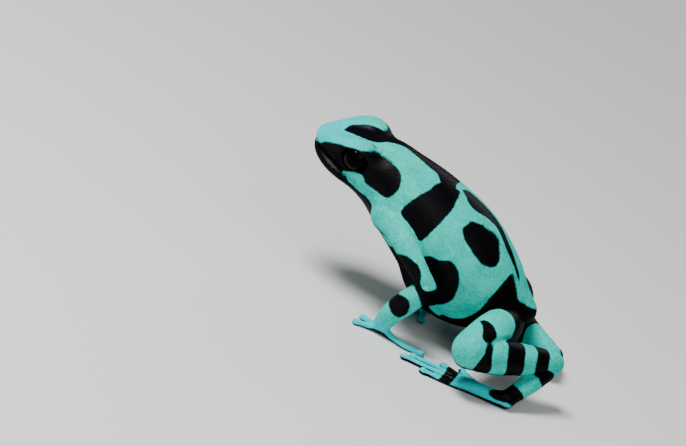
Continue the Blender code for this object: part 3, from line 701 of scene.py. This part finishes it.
def side_blotches(points, side):
    """The left side's blotches, or the right side's, which are moved and grown a little."""
    outlines = [SHOULDER_BLOTCH, FLANK_OVAL, LOW_FLANK_OVAL, HIP_TRIANGLE]
    dark = []
    for outline, (shift, growth) in zip(outlines, RIGHT_SIDE):
        outline = rounded(outline)
        if side == RIGHT:
            middle = outline.mean(axis=0)
            outline = middle + growth * (outline - middle) + np.array(shift)
        dark.append(outline_distance(points[:, [0, 2]], outline))
    wave = BACK_WAVE * np.sin(BACK_WAVE_RATE * points[:, 0] + 2.0 * side)
    inner = BACK_GREEN - side * points[:, 1] + wave
    rump = inner - RUMP_GROWTH * np.clip(RUMP_TOP - points[:, 2], 0.0, RUMP_FADE)
    return np.minimum(np.maximum(np.minimum.reduce(dark[:3]), inner), np.maximum(dark[3], rump))


def core_blotches(points, trunk, head):
    mask, crown = head_blotches(points)
    mask = np.maximum(mask, np.clip(head - trunk - MASK_END, None, MASK_LIMIT))
    dark = np.minimum(mask, crown)
    for side in (LEFT, RIGHT):
        dark = np.minimum(dark, side_blotches(points, side))
    stations = np.array(TRUNK)
    above = points[:, 2] - np.interp(points[:, 0], stations[:, 0], stations[:, 2])
    streak = np.maximum(outline_distance(points[:, :2], rounded(BACK_STREAK)), STREAK_LOWEST - above)
    belly = tube(points, smooth_path(BELLY, 3))
    belly = np.minimum(belly, outline_distance(points[:, [0, 2]], rounded(CHEST)))
    for middle, radii in BELLY_PATCHES:
        belly = np.maximum(belly, -ball(points, middle, radii))
    return np.minimum.reduce([dark, streak, belly])


def length_on(points, stations):
    """How far along a limb each point is, in millimetres from its first station."""
    path = smooth_path(stations)
    lengths = np.linalg.norm(np.diff(path[:, :3], axis=0), axis=1)
    done = np.concatenate([[0.0], np.cumsum(lengths)])
    best = np.full(len(points), FAR_AWAY)
    result = np.zeros(len(points))
    for i, length in enumerate(lengths):
        along = path[i + 1, :3] - path[i, :3]
        t = (points - path[i, :3]) @ along / (along @ along)
        t = np.clip(t, BEFORE_START if i == 0 else 0.0, PAST_END if i == len(lengths) - 1 else 1.0)
        gap = np.linalg.norm(points - path[i, :3] - t[:, None] * along, axis=1)
        result = np.where(gap < best, done[i] + t * length, result)
        best = np.minimum(best, gap)
    return result


def ring_distance(points, stations, rings, turn):
    """Distance along a limb to its black rings, whose edges wave a little round the limb."""
    length = length_on(points, stations)
    wave = RING_WAVE * np.sin(RING_WAVE_RATE * points[:, 2] + turn)
    return np.minimum.reduce([np.abs(length + wave - middle) - half for middle, half in rings])


def thigh_blotches(points, side):
    x, y, z = points.T
    out = side * y
    axis = smooth_path(THIGH[side])
    behind = x - np.interp(out, side * axis[:, 1], axis[:, 0])
    rear = outline_distance(np.column_stack([out, behind]), rounded(THIGH_REAR))
    knee = np.array(THIGH[side][-1][:3])
    offsets = np.column_stack([x - knee[0], side * knee[1] - out])
    crescent = np.maximum(outline_distance(offsets, rounded(CRESCENT)), knee[2] + CRESCENT_LOWEST - z)
    return np.minimum(rear, crescent)


def shared(fields, values, reach):
    """One value for each point, mostly that of the form whose skin is nearest."""
    fields, values = np.array(fields), np.clip(np.array(values), -VALUE_LIMIT, VALUE_LIMIT)
    weights = np.exp(-(fields - fields.min(axis=0)) / reach)
    return (weights * values).sum(axis=0) / weights.sum(axis=0)


def beyond(first, second):
    """Share of the second form's paint, from 0 on the first form to 1 on the second."""
    return np.clip(0.5 + (first - second) / END_SEAM, 0.0, 1.0)


# Black blotches and rings of a leg, with painted shade where its skin faces the ground
def leg_blotches_and_shade(points, normals, side):
    thigh, shank, tarsus = limbs(points, side, THIGH, SHANK, TARSUS)
    foot = digits_field(points, TOES[side])
    rings = ring_distance(points, SHANK[side], SHANK_RINGS, side)
    ankle = ring_distance(points, TARSUS[side], TARSUS_RINGS, side)
    upper = thigh_blotches(points, side)
    heel = np.array(TARSUS[side][-1][:3])
    back, inward = points[:, 0] - heel[0], side * (heel[1] - points[:, 1])
    green_sole = HEEL_TOP - points[:, 2] - HEEL_SLOPE * np.clip(back - HEEL_START, 0.0, HEEL_LENGTH)
    lower_half = length_on(points, TARSUS[side]) > TARSUS_HALF
    ankle = np.maximum(ankle, np.where(lower_half, green_sole, -VALUE_LIMIT))
    dark = shared([thigh, shank, tarsus], [upper, rings, ankle], LIMB_SEAM)
    # Painted shade: the leg's skin that faces the ground is painted black
    dark = np.minimum(dark, ground_facing_shade(normals, LIMB_SHADE_LIMIT))
    patch = tube(np.column_stack([-back, -inward, points[:, 2]]), np.array(ANKLE_PATCH))
    joint = ring_distance(points, TOES[side][3], FOOT_RINGS, side)
    toes = np.clip(length_on(points, TOES[side][3]) - TOES_START, 0.0, 1.0)
    # Painted shade on the sole and on the flanks of the toes, joined with the foot's black ring and ankle
    # patch
    sole = np.minimum.reduce([ground_facing_shade(normals, SOLE_SHADE_LIMIT + TOE_FLANK_SHADE * toes), joint, patch])
    return lerp(dark, sole, beyond(np.minimum(shank, tarsus), foot))


# Black blotches of an arm, with painted shade where the arm and hand face the ground
def arm_blotches_and_shade(points, normals, side):
    fore = tube(points, smooth_path(FOREARM[side]))
    hand = digits_field(points, FINGERS[side])
    flat = points[:, [0, 2]]
    if side == LEFT:
        spot = np.maximum(outline_distance(flat, rounded(FOREARM_SPOT)), SPOT_OUTWARD - side * points[:, 1])
    else:
        spot = ring_distance(points, FOREARM[side], FOREARM_RING, side)
    dark = np.minimum(spot, outline_distance(flat, rounded(ARM_UNDERSIDE)))
    # Painted shade: the arm's skin that faces the ground is painted black
    dark = np.minimum(dark, ground_facing_shade(normals, LIMB_SHADE_LIMIT))
    # Painted shade under the hand
    return lerp(dark, ground_facing_shade(normals, SOLE_SHADE_LIMIT), beyond(fore, hand))


def ground_facing_shade(normals, limit):
    """Painted shade: skin that faces the ground more steeply than the limit is painted black."""
    return SHADE_STEEPNESS * (normals[:, 2] - limit)


def lerp(first, second, share):
    return first + (second - first) * share


def paint_values(points, normals):
    """How far each point is outside the nearest black, of the blotches and of the painted shade where limbs,
    hands and feet face the ground, and how blue its green is.
    """
    trunk, head = trunk_field(points), head_field(points)
    fields = [np.minimum(trunk, head)]
    darks = [core_blotches(points, trunk, head)]
    snout, reach = BLUE_SNOUT
    blue = np.exp(-(np.linalg.norm(points - head_point(*snout), axis=1) / reach) ** 2)
    for side in (LEFT, RIGHT):
        fields += [leg_field(points, side), arm_field(points, side)]
        darks += [leg_blotches_and_shade(points, normals, side), arm_blotches_and_shade(points, normals, side)]
        for digits in (TOES[side], FINGERS[side]):
            gap = np.clip(digits_field(points, digits), 0.0, None)
            blue = np.maximum(blue, np.exp(-(gap / BLUE_DIGITS) ** 2))
    return shared(fields, darks, BODY_SEAM), blue


def folds(points):
    """How far the skin is moved outwards where a limb meets the trunk and where it bends."""
    pairs = []
    trunk = trunk_field(points)
    for side in (LEFT, RIGHT):
        thigh, shank, tarsus, upper, fore = limbs(points, side, THIGH, SHANK, TARSUS, UPPER_ARM, FOREARM)
        pairs += [(trunk, upper, 1.0), (trunk, thigh, 1.2), (thigh, shank, 0.8), (shank, tarsus, 0.8),
                  (upper, fore, 0.8), (fore, digits_field(points, FINGERS[side]), 0.5)]
    moved = np.zeros(len(points))
    for first, second, strength in pairs:
        gap = np.abs(first - second)
        near = np.exp(-(np.clip(np.maximum(first, second) - FOLD_START, 0.0, None) / FOLD_FADE) ** 2)
        wave = sum(height * np.exp(-((gap - place) / width) ** 2) for height, place, width in FOLD_SHAPE)
        moved += strength * FOLD_DEPTH * near * wave
    return moved


def add_attribute(data, name, values):
    layer = data.attributes.new(name, "FLOAT", "POINT")
    layer.data.foreach_set("value", values.astype(np.float32))


def place_in_world(data):
    """From the stations' millimetres to metres in the frame."""
    set_coordinates(data, (vertex_values(data, "co") + CENTRE_MOVE) * MM)


def add_group(name, inputs, outputs, kind="ShaderNodeTree"):
    group = bpy.data.node_groups.new(name, kind)
    for label, form, value in inputs:
        socket = group.interface.new_socket(label, in_out="INPUT", socket_type=form)
        if value is not None:
            socket.default_value = value
    for label, form in outputs:
        group.interface.new_socket(label, in_out="OUTPUT", socket_type=form)
    start = group.nodes.new("NodeGroupInput")
    end = group.nodes.new("NodeGroupOutput")
    return group, start, end


def set_inputs(tree, made, values):
    """Links each socket to another node's output, or sets its number or colour."""
    for key, value in values.items():
        socket = made.inputs[key]
        if isinstance(value, bpy.types.NodeSocket):
            tree.links.new(value, socket)
        elif socket.type == "RGBA":
            socket.default_value = (*value, 1.0)
        else:
            socket.default_value = value


def node(tree, kind, values=None, **settings):
    made = tree.nodes.new(kind)
    for key, value in settings.items():
        setattr(made, key, value)
    set_inputs(tree, made, values or {})
    return made


def math_node(tree, operation, first, second):
    return node(tree, "ShaderNodeMath", {0: first, 1: second}, operation=operation).outputs[0]


def multiply(tree, first, second):
    return math_node(tree, "MULTIPLY", first, second)


def skin_grain():
    """Fine pebbled skin: a height, a fine mottling and broad patches."""
    group, start, end = add_group(
        "Skin Grain",
        [("Vector", "NodeSocketVector", None), ("Pebbles", "NodeSocketFloat", PEBBLE_SCALE),
         ("Wrinkles", "NodeSocketFloat", WRINKLE_SCALE)],
        [("Height", "NodeSocketFloat"), ("Mottling", "NodeSocketFloat"), ("Patches", "NodeSocketFloat")])
    vector, small, large = start.outputs[:3]
    pebbles = node(group, "ShaderNodeTexVoronoi", {"Vector": vector, "Scale": small, "Smoothness": 0.6},
                   feature="SMOOTH_F1")
    wrinkles = node(group, "ShaderNodeTexNoise",
                    {"Vector": vector, "Scale": large, "Detail": 4.0, "Roughness": 0.6})
    fine = node(group, "ShaderNodeTexNoise",
                {"Vector": vector, "Scale": small, "Detail": 3.0, "Roughness": 0.7})
    wrinkle_height = multiply(group, wrinkles.outputs["Fac"], WRINKLE_HEIGHT)
    height = math_node(group, "SUBTRACT", wrinkle_height, pebbles.outputs["Distance"])
    set_inputs(group, end, {"Height": height, "Mottling": fine.outputs["Fac"],
                            "Patches": wrinkles.outputs["Fac"]})
    return group


def mix_colour(tree, share, first, second):
    """A colour between two; the mix node's colour sockets are numbers 6 and 7, its result number 2."""
    return node(tree, "ShaderNodeMix", {"Factor": share, 6: first, 7: second}, data_type="RGBA").outputs[2]


def ramp(tree, value, low, high):
    """A smooth rise from 0 to 1 between two values."""
    made = node(tree, "ShaderNodeMapRange", {"Value": value, "From Min": low, "From Max": high},
                interpolation_type="SMOOTHSTEP")
    return made.outputs["Result"]


def attribute(tree, name):
    return node(tree, "ShaderNodeAttribute", attribute_name=name).outputs["Fac"]


def new_material(name):
    """A material with its node tree, its shader and its place on the object."""
    made = bpy.data.materials.new(name)
    made.use_nodes = True
    tree = made.node_tree
    place = node(tree, "ShaderNodeTexCoord").outputs["Object"]
    return made, tree, tree.nodes["Principled BSDF"], place


def skin_material(looks):
    made, tree, shader, place = new_material("Frog Skin")
    grain = node(tree, "ShaderNodeGroup", node_tree=skin_grain())
    set_inputs(tree, grain, {"Vector": place})
    mottling, patches = grain.outputs["Mottling"], grain.outputs["Patches"]
    feather = multiply(tree, math_node(tree, "SUBTRACT", mottling, 0.5), EDGE_FEATHER)
    wander = multiply(tree, math_node(tree, "SUBTRACT", patches, 0.5), EDGE_WANDER)
    # The dark attribute carries the black blotches and the painted shade under limbs, hands and feet
    edge = math_node(tree, "ADD", math_node(tree, "ADD", attribute(tree, "dark"), feather), wander)
    green_share = ramp(tree, edge, *EDGE_RANGE)
    pale_share = multiply(tree, ramp(tree, patches, *PALE_RANGE), PALE_SHARE)
    blue_share = multiply(tree, attribute(tree, "blue"), BLUE_SHARE)
    green = mix_colour(tree, ramp(tree, mottling, *GREEN_RANGE), looks.deep_green, looks.bright_green)
    green = mix_colour(tree, pale_share, green, looks.pale_mint)
    green = mix_colour(tree, blue_share, green, looks.blue_tint)
    black = mix_colour(tree, ramp(tree, mottling, *BLACK_RANGE), looks.black, looks.black_grain)
    rough = math_node(tree, "ADD", multiply(tree, mottling, GRAIN_ROUGHNESS), SMOOTHEST)
    rough = math_node(tree, "ADD", rough, multiply(tree, green_share, GREEN_ROUGHNESS))
    bump = node(tree, "ShaderNodeBump", {"Strength": GRAIN_STRENGTH, "Distance": GRAIN_HEIGHT,
                                         "Height": grain.outputs["Height"]})
    rim = node(tree, "ShaderNodeLayerWeight", {"Blend": 0.5})
    facing = math_node(tree, "SUBTRACT", 1.0, rim.outputs["Facing"])
    sheen = multiply(tree, math_node(tree, "POWER", facing, SHEEN_POWER), SHEEN)
    set_inputs(tree, shader, {"Base Color": mix_colour(tree, green_share, black, green), "Roughness": rough,
                              "Normal": bump.outputs["Normal"], "Specular IOR Level": sheen})
    return made


def eye_material(looks):
    made, tree, shader, place = new_material("Frog Eye")
    angle = attribute(tree, "from_pupil")
    flecks = node(tree, "ShaderNodeTexNoise",
                  {"Vector": place, "Scale": FLECK_SCALE, "Detail": 4.0, "Roughness": 0.65})
    outside = ramp(tree, angle, *IRIS_RIM)
    ring = multiply(tree, ramp(tree, angle, *PUPIL_RIM), math_node(tree, "SUBTRACT", 1.0, outside))
    iris = multiply(tree, ring, ramp(tree, flecks.outputs["Fac"], *FLECK_RANGE))
    set_inputs(tree, shader, {"Base Color": mix_colour(tree, iris, looks.pupil, looks.iris),
                              "Roughness": EYE_ROUGHNESS, "Specular IOR Level": FAINT_SHINE})
    return made


def link(thing):
    bpy.context.scene.collection.objects.link(thing)
    return thing


class FrogLooks(PropertyGroup):
    deep_green: FloatVectorProperty(
        name="Deep green", description="Shaded green of the skin", subtype="COLOR",
        default=(0.0, 0.36, 0.29), min=0.0, max=1.0)
    bright_green: FloatVectorProperty(
        name="Bright green", description="Main green of the skin", subtype="COLOR",
        default=(0.0, 0.56, 0.46), min=0.0, max=1.0)
    pale_mint: FloatVectorProperty(
        name="Pale mint", description="Palest green of the skin", subtype="COLOR",
        default=(0.02, 0.80, 0.68), min=0.0, max=1.0)
    blue_tint: FloatVectorProperty(
        name="Blue tint", description="Bluer green of digits and snout", subtype="COLOR",
        default=(0.0, 0.62, 0.74), min=0.0, max=1.0)
    # This black colours the blotches and also the painted shade under limbs, hands and feet
    black: FloatVectorProperty(
        name="Black", description="Blotches of the skin", subtype="COLOR",
        default=(0.005, 0.005, 0.006), min=0.0, max=1.0)
    black_grain: FloatVectorProperty(
        name="Black grain", description="Paler grain in the blotches", subtype="COLOR",
        default=(0.012, 0.011, 0.014), min=0.0, max=1.0)
    pupil: FloatVectorProperty(
        name="Pupil", description="Black of the eye", subtype="COLOR",
        default=(0.001, 0.001, 0.001), min=0.0, max=1.0)
    iris: FloatVectorProperty(
        name="Iris", description="Dark bronze of the iris", subtype="COLOR",
        default=(0.006, 0.004, 0.002), min=0.0, max=1.0)


class FrogSizes(PropertyGroup):
    skin_detail: FloatProperty(
        name="Skin detail", description="Spacing of the skin's points", unit="LENGTH",
        default=SKIN_VOXEL * MM, min=0.0001, max=0.001, precision=5)
    scute_length: FloatProperty(
        name="Scute length", description="Length of a scute on a toe disc", unit="LENGTH",
        default=0.00062, min=0.0, max=0.002, precision=5)
    scute_width: FloatProperty(
        name="Scute width", description="Width of a scute on a toe disc", unit="LENGTH",
        default=0.00036, min=0.0, max=0.002, precision=5)


class FrogStage(PropertyGroup):
    floor_colour: FloatVectorProperty(
        name="Floor", description="Pale floor", subtype="COLOR",
        default=(0.78, 0.78, 0.77), min=0.0, max=1.0)
    key_power: FloatProperty(
        name="Key light", description="Power of the soft light from above", unit="POWER",
        default=2.5, min=0.0)
    fill_power: FloatProperty(
        name="Fill light", description="Power of the light beside the camera", unit="POWER",
        default=0.4, min=0.0)
    rim_power: FloatProperty(
        name="Rim light", description="Power of the light behind the frog", unit="POWER",
        default=0.4, min=0.0)
    sky_strength: FloatProperty(
        name="Sky", description="Strength of the light all round", default=0.2, min=0.0)


class FROG_OT_skin(Operator):
    """Makes the one skin that covers head, trunk, arms and legs"""
    bl_idname = "frog.skin"
    bl_label = "Skin"

    def execute(self, context):
        voxel = context.scene.frog_sizes.skin_detail / MM
        skin = whole_body(voxel)
        skin.name = "skin"
        skin.data.name = "skin"
        points = vertex_values(skin.data, "co")
        normals = vertex_values(skin.data, "normal")
        dark, blue = paint_values(points, normals)
        points += folds(points)[:, None] * normals
        points[:, 2] = np.maximum(points[:, 2], 0.0)
        set_coordinates(skin.data, points)
        place_in_world(skin.data)
        # The dark attribute holds the black blotches and the painted shade under limbs, hands and feet
        add_attribute(skin.data, "dark", dark)
        add_attribute(skin.data, "blue", blue)
        skin.data.shade_smooth()
        skin.data.materials.append(skin_material(context.scene.frog_looks))
        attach(skin, "root")
        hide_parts(*[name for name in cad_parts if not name.startswith("eye")])
        return {"FINISHED"}


def scute_material(looks):
    made, tree, shader, place = new_material("Frog Scute")
    grain = node(tree, "ShaderNodeTexNoise", {"Vector": place, "Scale": SCUTE_GRAIN_SCALE, "Detail": 3.0})
    shade = ramp(tree, grain.outputs["Fac"], *SCUTE_RANGE)
    set_inputs(tree, shader, {"Base Color": mix_colour(tree, shade, looks.blue_tint, looks.pale_mint),
                              "Roughness": SCUTE_ROUGHNESS, "Specular IOR Level": FAINT_SHINE})
    return made


def scute_nodes():
    """A flat oval plate on every point, turned along the digit."""
    group, start, end = add_group(
        "Toe Scutes",
        [("Geometry", "NodeSocketGeometry", None), ("Length", "NodeSocketFloat", 0.0006),
         ("Width", "NodeSocketFloat", 0.0004), ("Material", "NodeSocketMaterial", None)],
        [("Geometry", "NodeSocketGeometry")], kind="GeometryNodeTree")
    points, length, width, material = start.outputs[:4]
    plate = node(group, "GeometryNodeMeshUVSphere", {"Segments": 16, "Rings": 10, "Radius": 0.5})
    size = node(group, "ShaderNodeCombineXYZ",
                {"X": length, "Y": width, "Z": multiply(group, width, SCUTE_THICKNESS)})
    ahead, up = (node(group, "GeometryNodeInputNamedAttribute", {"Name": name}, data_type="FLOAT_VECTOR")
                 for name in ("facing", "upward"))
    turn = node(group, "FunctionNodeAxesToRotation",
                {0: ahead.outputs["Attribute"], 1: up.outputs["Attribute"]},
                primary_axis="X", secondary_axis="Z")
    spread = node(group, "GeometryNodeInstanceOnPoints",
                  {"Points": points, "Instance": plate.outputs["Mesh"], "Rotation": turn.outputs[0],
                   "Scale": size.outputs["Vector"]})
    real = node(group, "GeometryNodeRealizeInstances", {"Geometry": spread.outputs["Instances"]})
    smooth = node(group, "GeometryNodeSetShadeSmooth", {"Geometry": real.outputs["Geometry"]})
    painted = node(group, "GeometryNodeSetMaterial",
                   {"Geometry": smooth.outputs["Geometry"], "Material": material})
    set_inputs(group, end, {"Geometry": painted.outputs["Geometry"]})
    return group


def socket_name(group, label):
    for item in group.interface.items_tree:
        if item.item_type == "SOCKET" and item.in_out == "INPUT" and item.name == label:
            return item.identifier
    raise KeyError(label)


def scute_places():
    """Two places side by side on top of every disc, with the way the digit points and the way up."""
    places, facing, upward = [], [], []
    radius, _, thickness = DISC_RADII
    for side in (LEFT, RIGHT):
        for digit in (*TOES[side], *FINGERS[side]):
            tip = np.array(digit[-1][:3])
            ahead = tip - np.array(digit[-2][:3])
            ahead[2] = 0.0
            ahead /= np.linalg.norm(ahead)
            aside = np.array([-ahead[1], ahead[0], 0.0])
            for way in (-1.0, 1.0):
                out = SCUTE_AHEAD * ahead + SCUTE_ASIDE * way * aside
                height = math.sqrt(1.0 - (np.linalg.norm(out) / radius) ** 2)
                lean = out / radius ** 2 + np.array([0.0, 0.0, height / thickness])
                lean /= np.linalg.norm(lean)
                places.append(tip + out + [0.0, 0.0, thickness * height + SCUTE_LIFT])
                facing.append(ahead - (ahead @ lean) * lean)
                upward.append(lean)
    return np.array(places), np.array(facing), np.array(upward)


class FROG_OT_scutes(Operator):
    """Lays two small scutes on the disc of every finger and toe"""
    bl_idname = "frog.scutes"
    bl_label = "Toe Scutes"

    def execute(self, context):
        sizes = context.scene.frog_sizes
        places, facing, upward = scute_places()
        data = bpy.data.meshes.new("scute_places")
        data.from_pydata(((places + CENTRE_MOVE) * MM).tolist(), [], [])
        for name, values in (("facing", facing), ("upward", upward)):
            layer = data.attributes.new(name, "FLOAT_VECTOR", "POINT")
            layer.data.foreach_set("vector", values.astype(np.float32).ravel())
        carrier = link(bpy.data.objects.new("scute_places", data))
        group = scute_nodes()
        spread = carrier.modifiers.new("Scutes", "NODES")
        spread.node_group = group
        spread[socket_name(group, "Length")] = sizes.scute_length
        spread[socket_name(group, "Width")] = sizes.scute_width
        spread[socket_name(group, "Material")] = scute_material(context.scene.frog_looks)
        context.view_layer.update()
        ready = carrier.evaluated_get(context.evaluated_depsgraph_get())
        made = bpy.data.meshes.new_from_object(ready)
        carrier.modifiers.remove(spread)
        bpy.data.objects.remove(carrier)
        made.name = "toe_scutes"
        scutes = link(bpy.data.objects.new("toe_scutes", made))
        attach(scutes, "root")
        return {"FINISHED"}


class FROG_OT_eyes(Operator):
    """Makes both eyeballs, each with a low bulge over its pupil"""
    bl_idname = "frog.eyes"
    bl_label = "Eyes"

    def execute(self, context):
        surface = eye_material(context.scene.frog_looks)
        for side, word in ((LEFT, "left"), (RIGHT, "right")):
            gaze = HEAD_AXES @ sided(GAZE, side)
            gaze /= np.linalg.norm(gaze)
            mesh = bmesh.new()
            bmesh.ops.create_uvsphere(mesh, u_segments=64, v_segments=40, radius=EYE_RADIUS)
            turn = Vector((0.0, 0.0, 1.0)).rotation_difference(Vector(gaze)).to_matrix()
            bmesh.ops.rotate(mesh, matrix=turn, verts=mesh.verts)
            data = bpy.data.meshes.new("eyeball_" + word)
            mesh.to_mesh(data)
            mesh.free()
            points = vertex_values(data, "co")
            angles = np.arccos(np.clip(points @ gaze / np.linalg.norm(points, axis=1), -1.0, 1.0))
            points *= (1.0 + BULGE_RISE * np.exp(-(angles / BULGE_WIDTH) ** 2))[:, None]
            set_coordinates(data, points + eye_place(side))
            place_in_world(data)
            add_attribute(data, "from_pupil", angles)
            data.shade_smooth()
            data.materials.append(surface)
            eye = link(bpy.data.objects.new("eyeball_" + word, data))
            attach(eye, "root")
            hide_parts("eye_" + word)
        return {"FINISHED"}


class FROG_OT_stage(Operator):
    """Lays the pale floor and sets the lights, the camera and the picture's contrast"""
    bl_idname = "frog.stage"
    bl_label = "Stage"

    def execute(self, context):
        stage = context.scene.frog_stage
        bpy.ops.mesh.primitive_plane_add(size=6.0)
        floor = context.object
        floor.name = "floor"
        paint = bpy.data.materials.new("Pale Floor")
        paint.use_nodes = True
        set_inputs(paint.node_tree, paint.node_tree.nodes["Principled BSDF"],
                   {"Base Color": stage.floor_colour, "Roughness": 0.85})
        floor.data.materials.append(paint)
        world = bpy.data.worlds.new("Soft Sky")
        world.use_nodes = True
        set_inputs(world.node_tree, world.node_tree.nodes["Background"],
                   {"Color": SKY_COLOUR, "Strength": stage.sky_strength})
        context.scene.world = world
        context.scene.view_settings.look = "AgX - Punchy"
        axes = camera_axes()
        middle = (FROG_MIDDLE + CENTRE_MOVE) * MM
        lights = (("key", KEY_LIGHT, stage.key_power), ("fill", FILL_LIGHT, stage.fill_power),
                  ("rim", RIM_LIGHT, stage.rim_power))
        for name, (*place, width), power in lights:
            add_light(name, middle + np.array(place) @ axes, middle, width, power)
        add_camera(axes)
        return {"FINISHED"}


# Lights: place right, up and ahead of the frog's middle as the camera sees it, and width, in metres
FROG_MIDDLE = np.array([-1.0, -2.0, 10.0])
KEY_LIGHT = (-0.02, 0.27, -0.17, 0.12)
FILL_LIGHT = (0.12, 0.04, -0.24, 0.22)
RIM_LIGHT = (0.2, 0.2, 0.26, 0.2)
SKY_COLOUR = (0.93, 0.96, 1.0)

# The camera: turned, tilted and rolled as the photo was taken, aimed by the ankle of the near foot
CAMERA_AZIMUTH = math.radians(3.0)
CAMERA_ELEVATION = math.radians(20.0)
CAMERA_ROLL = math.radians(25.0)
CAMERA_FOCUS_PIXELS = 3817.0
CAMERA_DISTANCE = 489.7
PHOTO_WIDTH = 686
ANKLE = np.array([16.0, -11.0, 0.0])
ANKLE_PIXELS = (162.0, -180.0)
SENSOR_WIDTH = 36.0


def camera_axes():
    """The picture's right and up and the way the camera looks, in rows, with the roll in them."""
    azimuth, elevation = CAMERA_AZIMUTH, CAMERA_ELEVATION
    ahead = np.array([-math.sin(azimuth) * math.cos(elevation), math.cos(azimuth) * math.cos(elevation),
                      -math.sin(elevation)])
    level = np.array([math.cos(azimuth), math.sin(azimuth), 0.0])
    upright = np.cross(level, ahead)
    right = math.cos(CAMERA_ROLL) * level + math.sin(CAMERA_ROLL) * upright
    up = -math.sin(CAMERA_ROLL) * level + math.cos(CAMERA_ROLL) * upright
    return np.array([right, up, ahead])


def add_camera(axes):
    right, up, ahead = axes
    aim = ahead + (ANKLE_PIXELS[0] * right + ANKLE_PIXELS[1] * up) / CAMERA_FOCUS_PIXELS
    place = (ANKLE + CENTRE_MOVE - CAMERA_DISTANCE * aim) * MM
    data = bpy.data.cameras.new("camera")
    data.sensor_width = SENSOR_WIDTH
    data.lens = CAMERA_FOCUS_PIXELS * SENSOR_WIDTH / PHOTO_WIDTH
    data.clip_start = 0.01
    data.clip_end = 20.0
    camera = link(bpy.data.objects.new("camera", data))
    turn = Matrix(np.column_stack([right, up, -ahead]).tolist()).to_4x4()
    camera.matrix_world = Matrix.Translation(Vector(place)) @ turn
    bpy.context.scene.camera = camera


def add_light(name, place, target, size, power):
    data = bpy.data.lights.new(name, "AREA")
    data.shape = "DISK"
    data.size = size
    data.energy = power
    light = link(bpy.data.objects.new(name, data))
    light.location = Vector(place)
    light.rotation_euler = (Vector(target) - Vector(place)).to_track_quat("-Z", "Y").to_euler()


class FROG_PT_panel(Panel):
    """Lists the frog's sizes, colours and pieces"""
    bl_idname = "FROG_PT_panel"
    bl_label = "Poison Dart Frog"
    bl_space_type = "VIEW_3D"
    bl_region_type = "UI"
    bl_category = "Frog"

    def draw(self, context):
        layout = self.layout
        for owner in (context.scene.frog_sizes, context.scene.frog_looks, context.scene.frog_stage):
            box = layout.box()
            for name in owner.__annotations__:
                box.prop(owner, name)
        for operator in OPERATORS:
            layout.operator(operator.bl_idname)


GROUPS = (FrogLooks, FrogSizes, FrogStage)
OPERATORS = (FROG_OT_skin, FROG_OT_eyes, FROG_OT_scutes, FROG_OT_stage)


def register():
    for one in (*GROUPS, *OPERATORS, FROG_PT_panel):
        bpy.utils.register_class(one)
    bpy.types.Scene.frog_looks = PointerProperty(type=FrogLooks)
    bpy.types.Scene.frog_sizes = PointerProperty(type=FrogSizes)
    bpy.types.Scene.frog_stage = PointerProperty(type=FrogStage)


def unregister():
    del bpy.types.Scene.frog_stage
    del bpy.types.Scene.frog_sizes
    del bpy.types.Scene.frog_looks
    for one in reversed((*GROUPS, *OPERATORS, FROG_PT_panel)):
        bpy.utils.unregister_class(one)


def main():
    register()
    bpy.ops.frog.skin()
    bpy.ops.frog.eyes()
    bpy.ops.frog.scutes()
    bpy.ops.frog.stage()


if __name__ == "__main__":
    main()
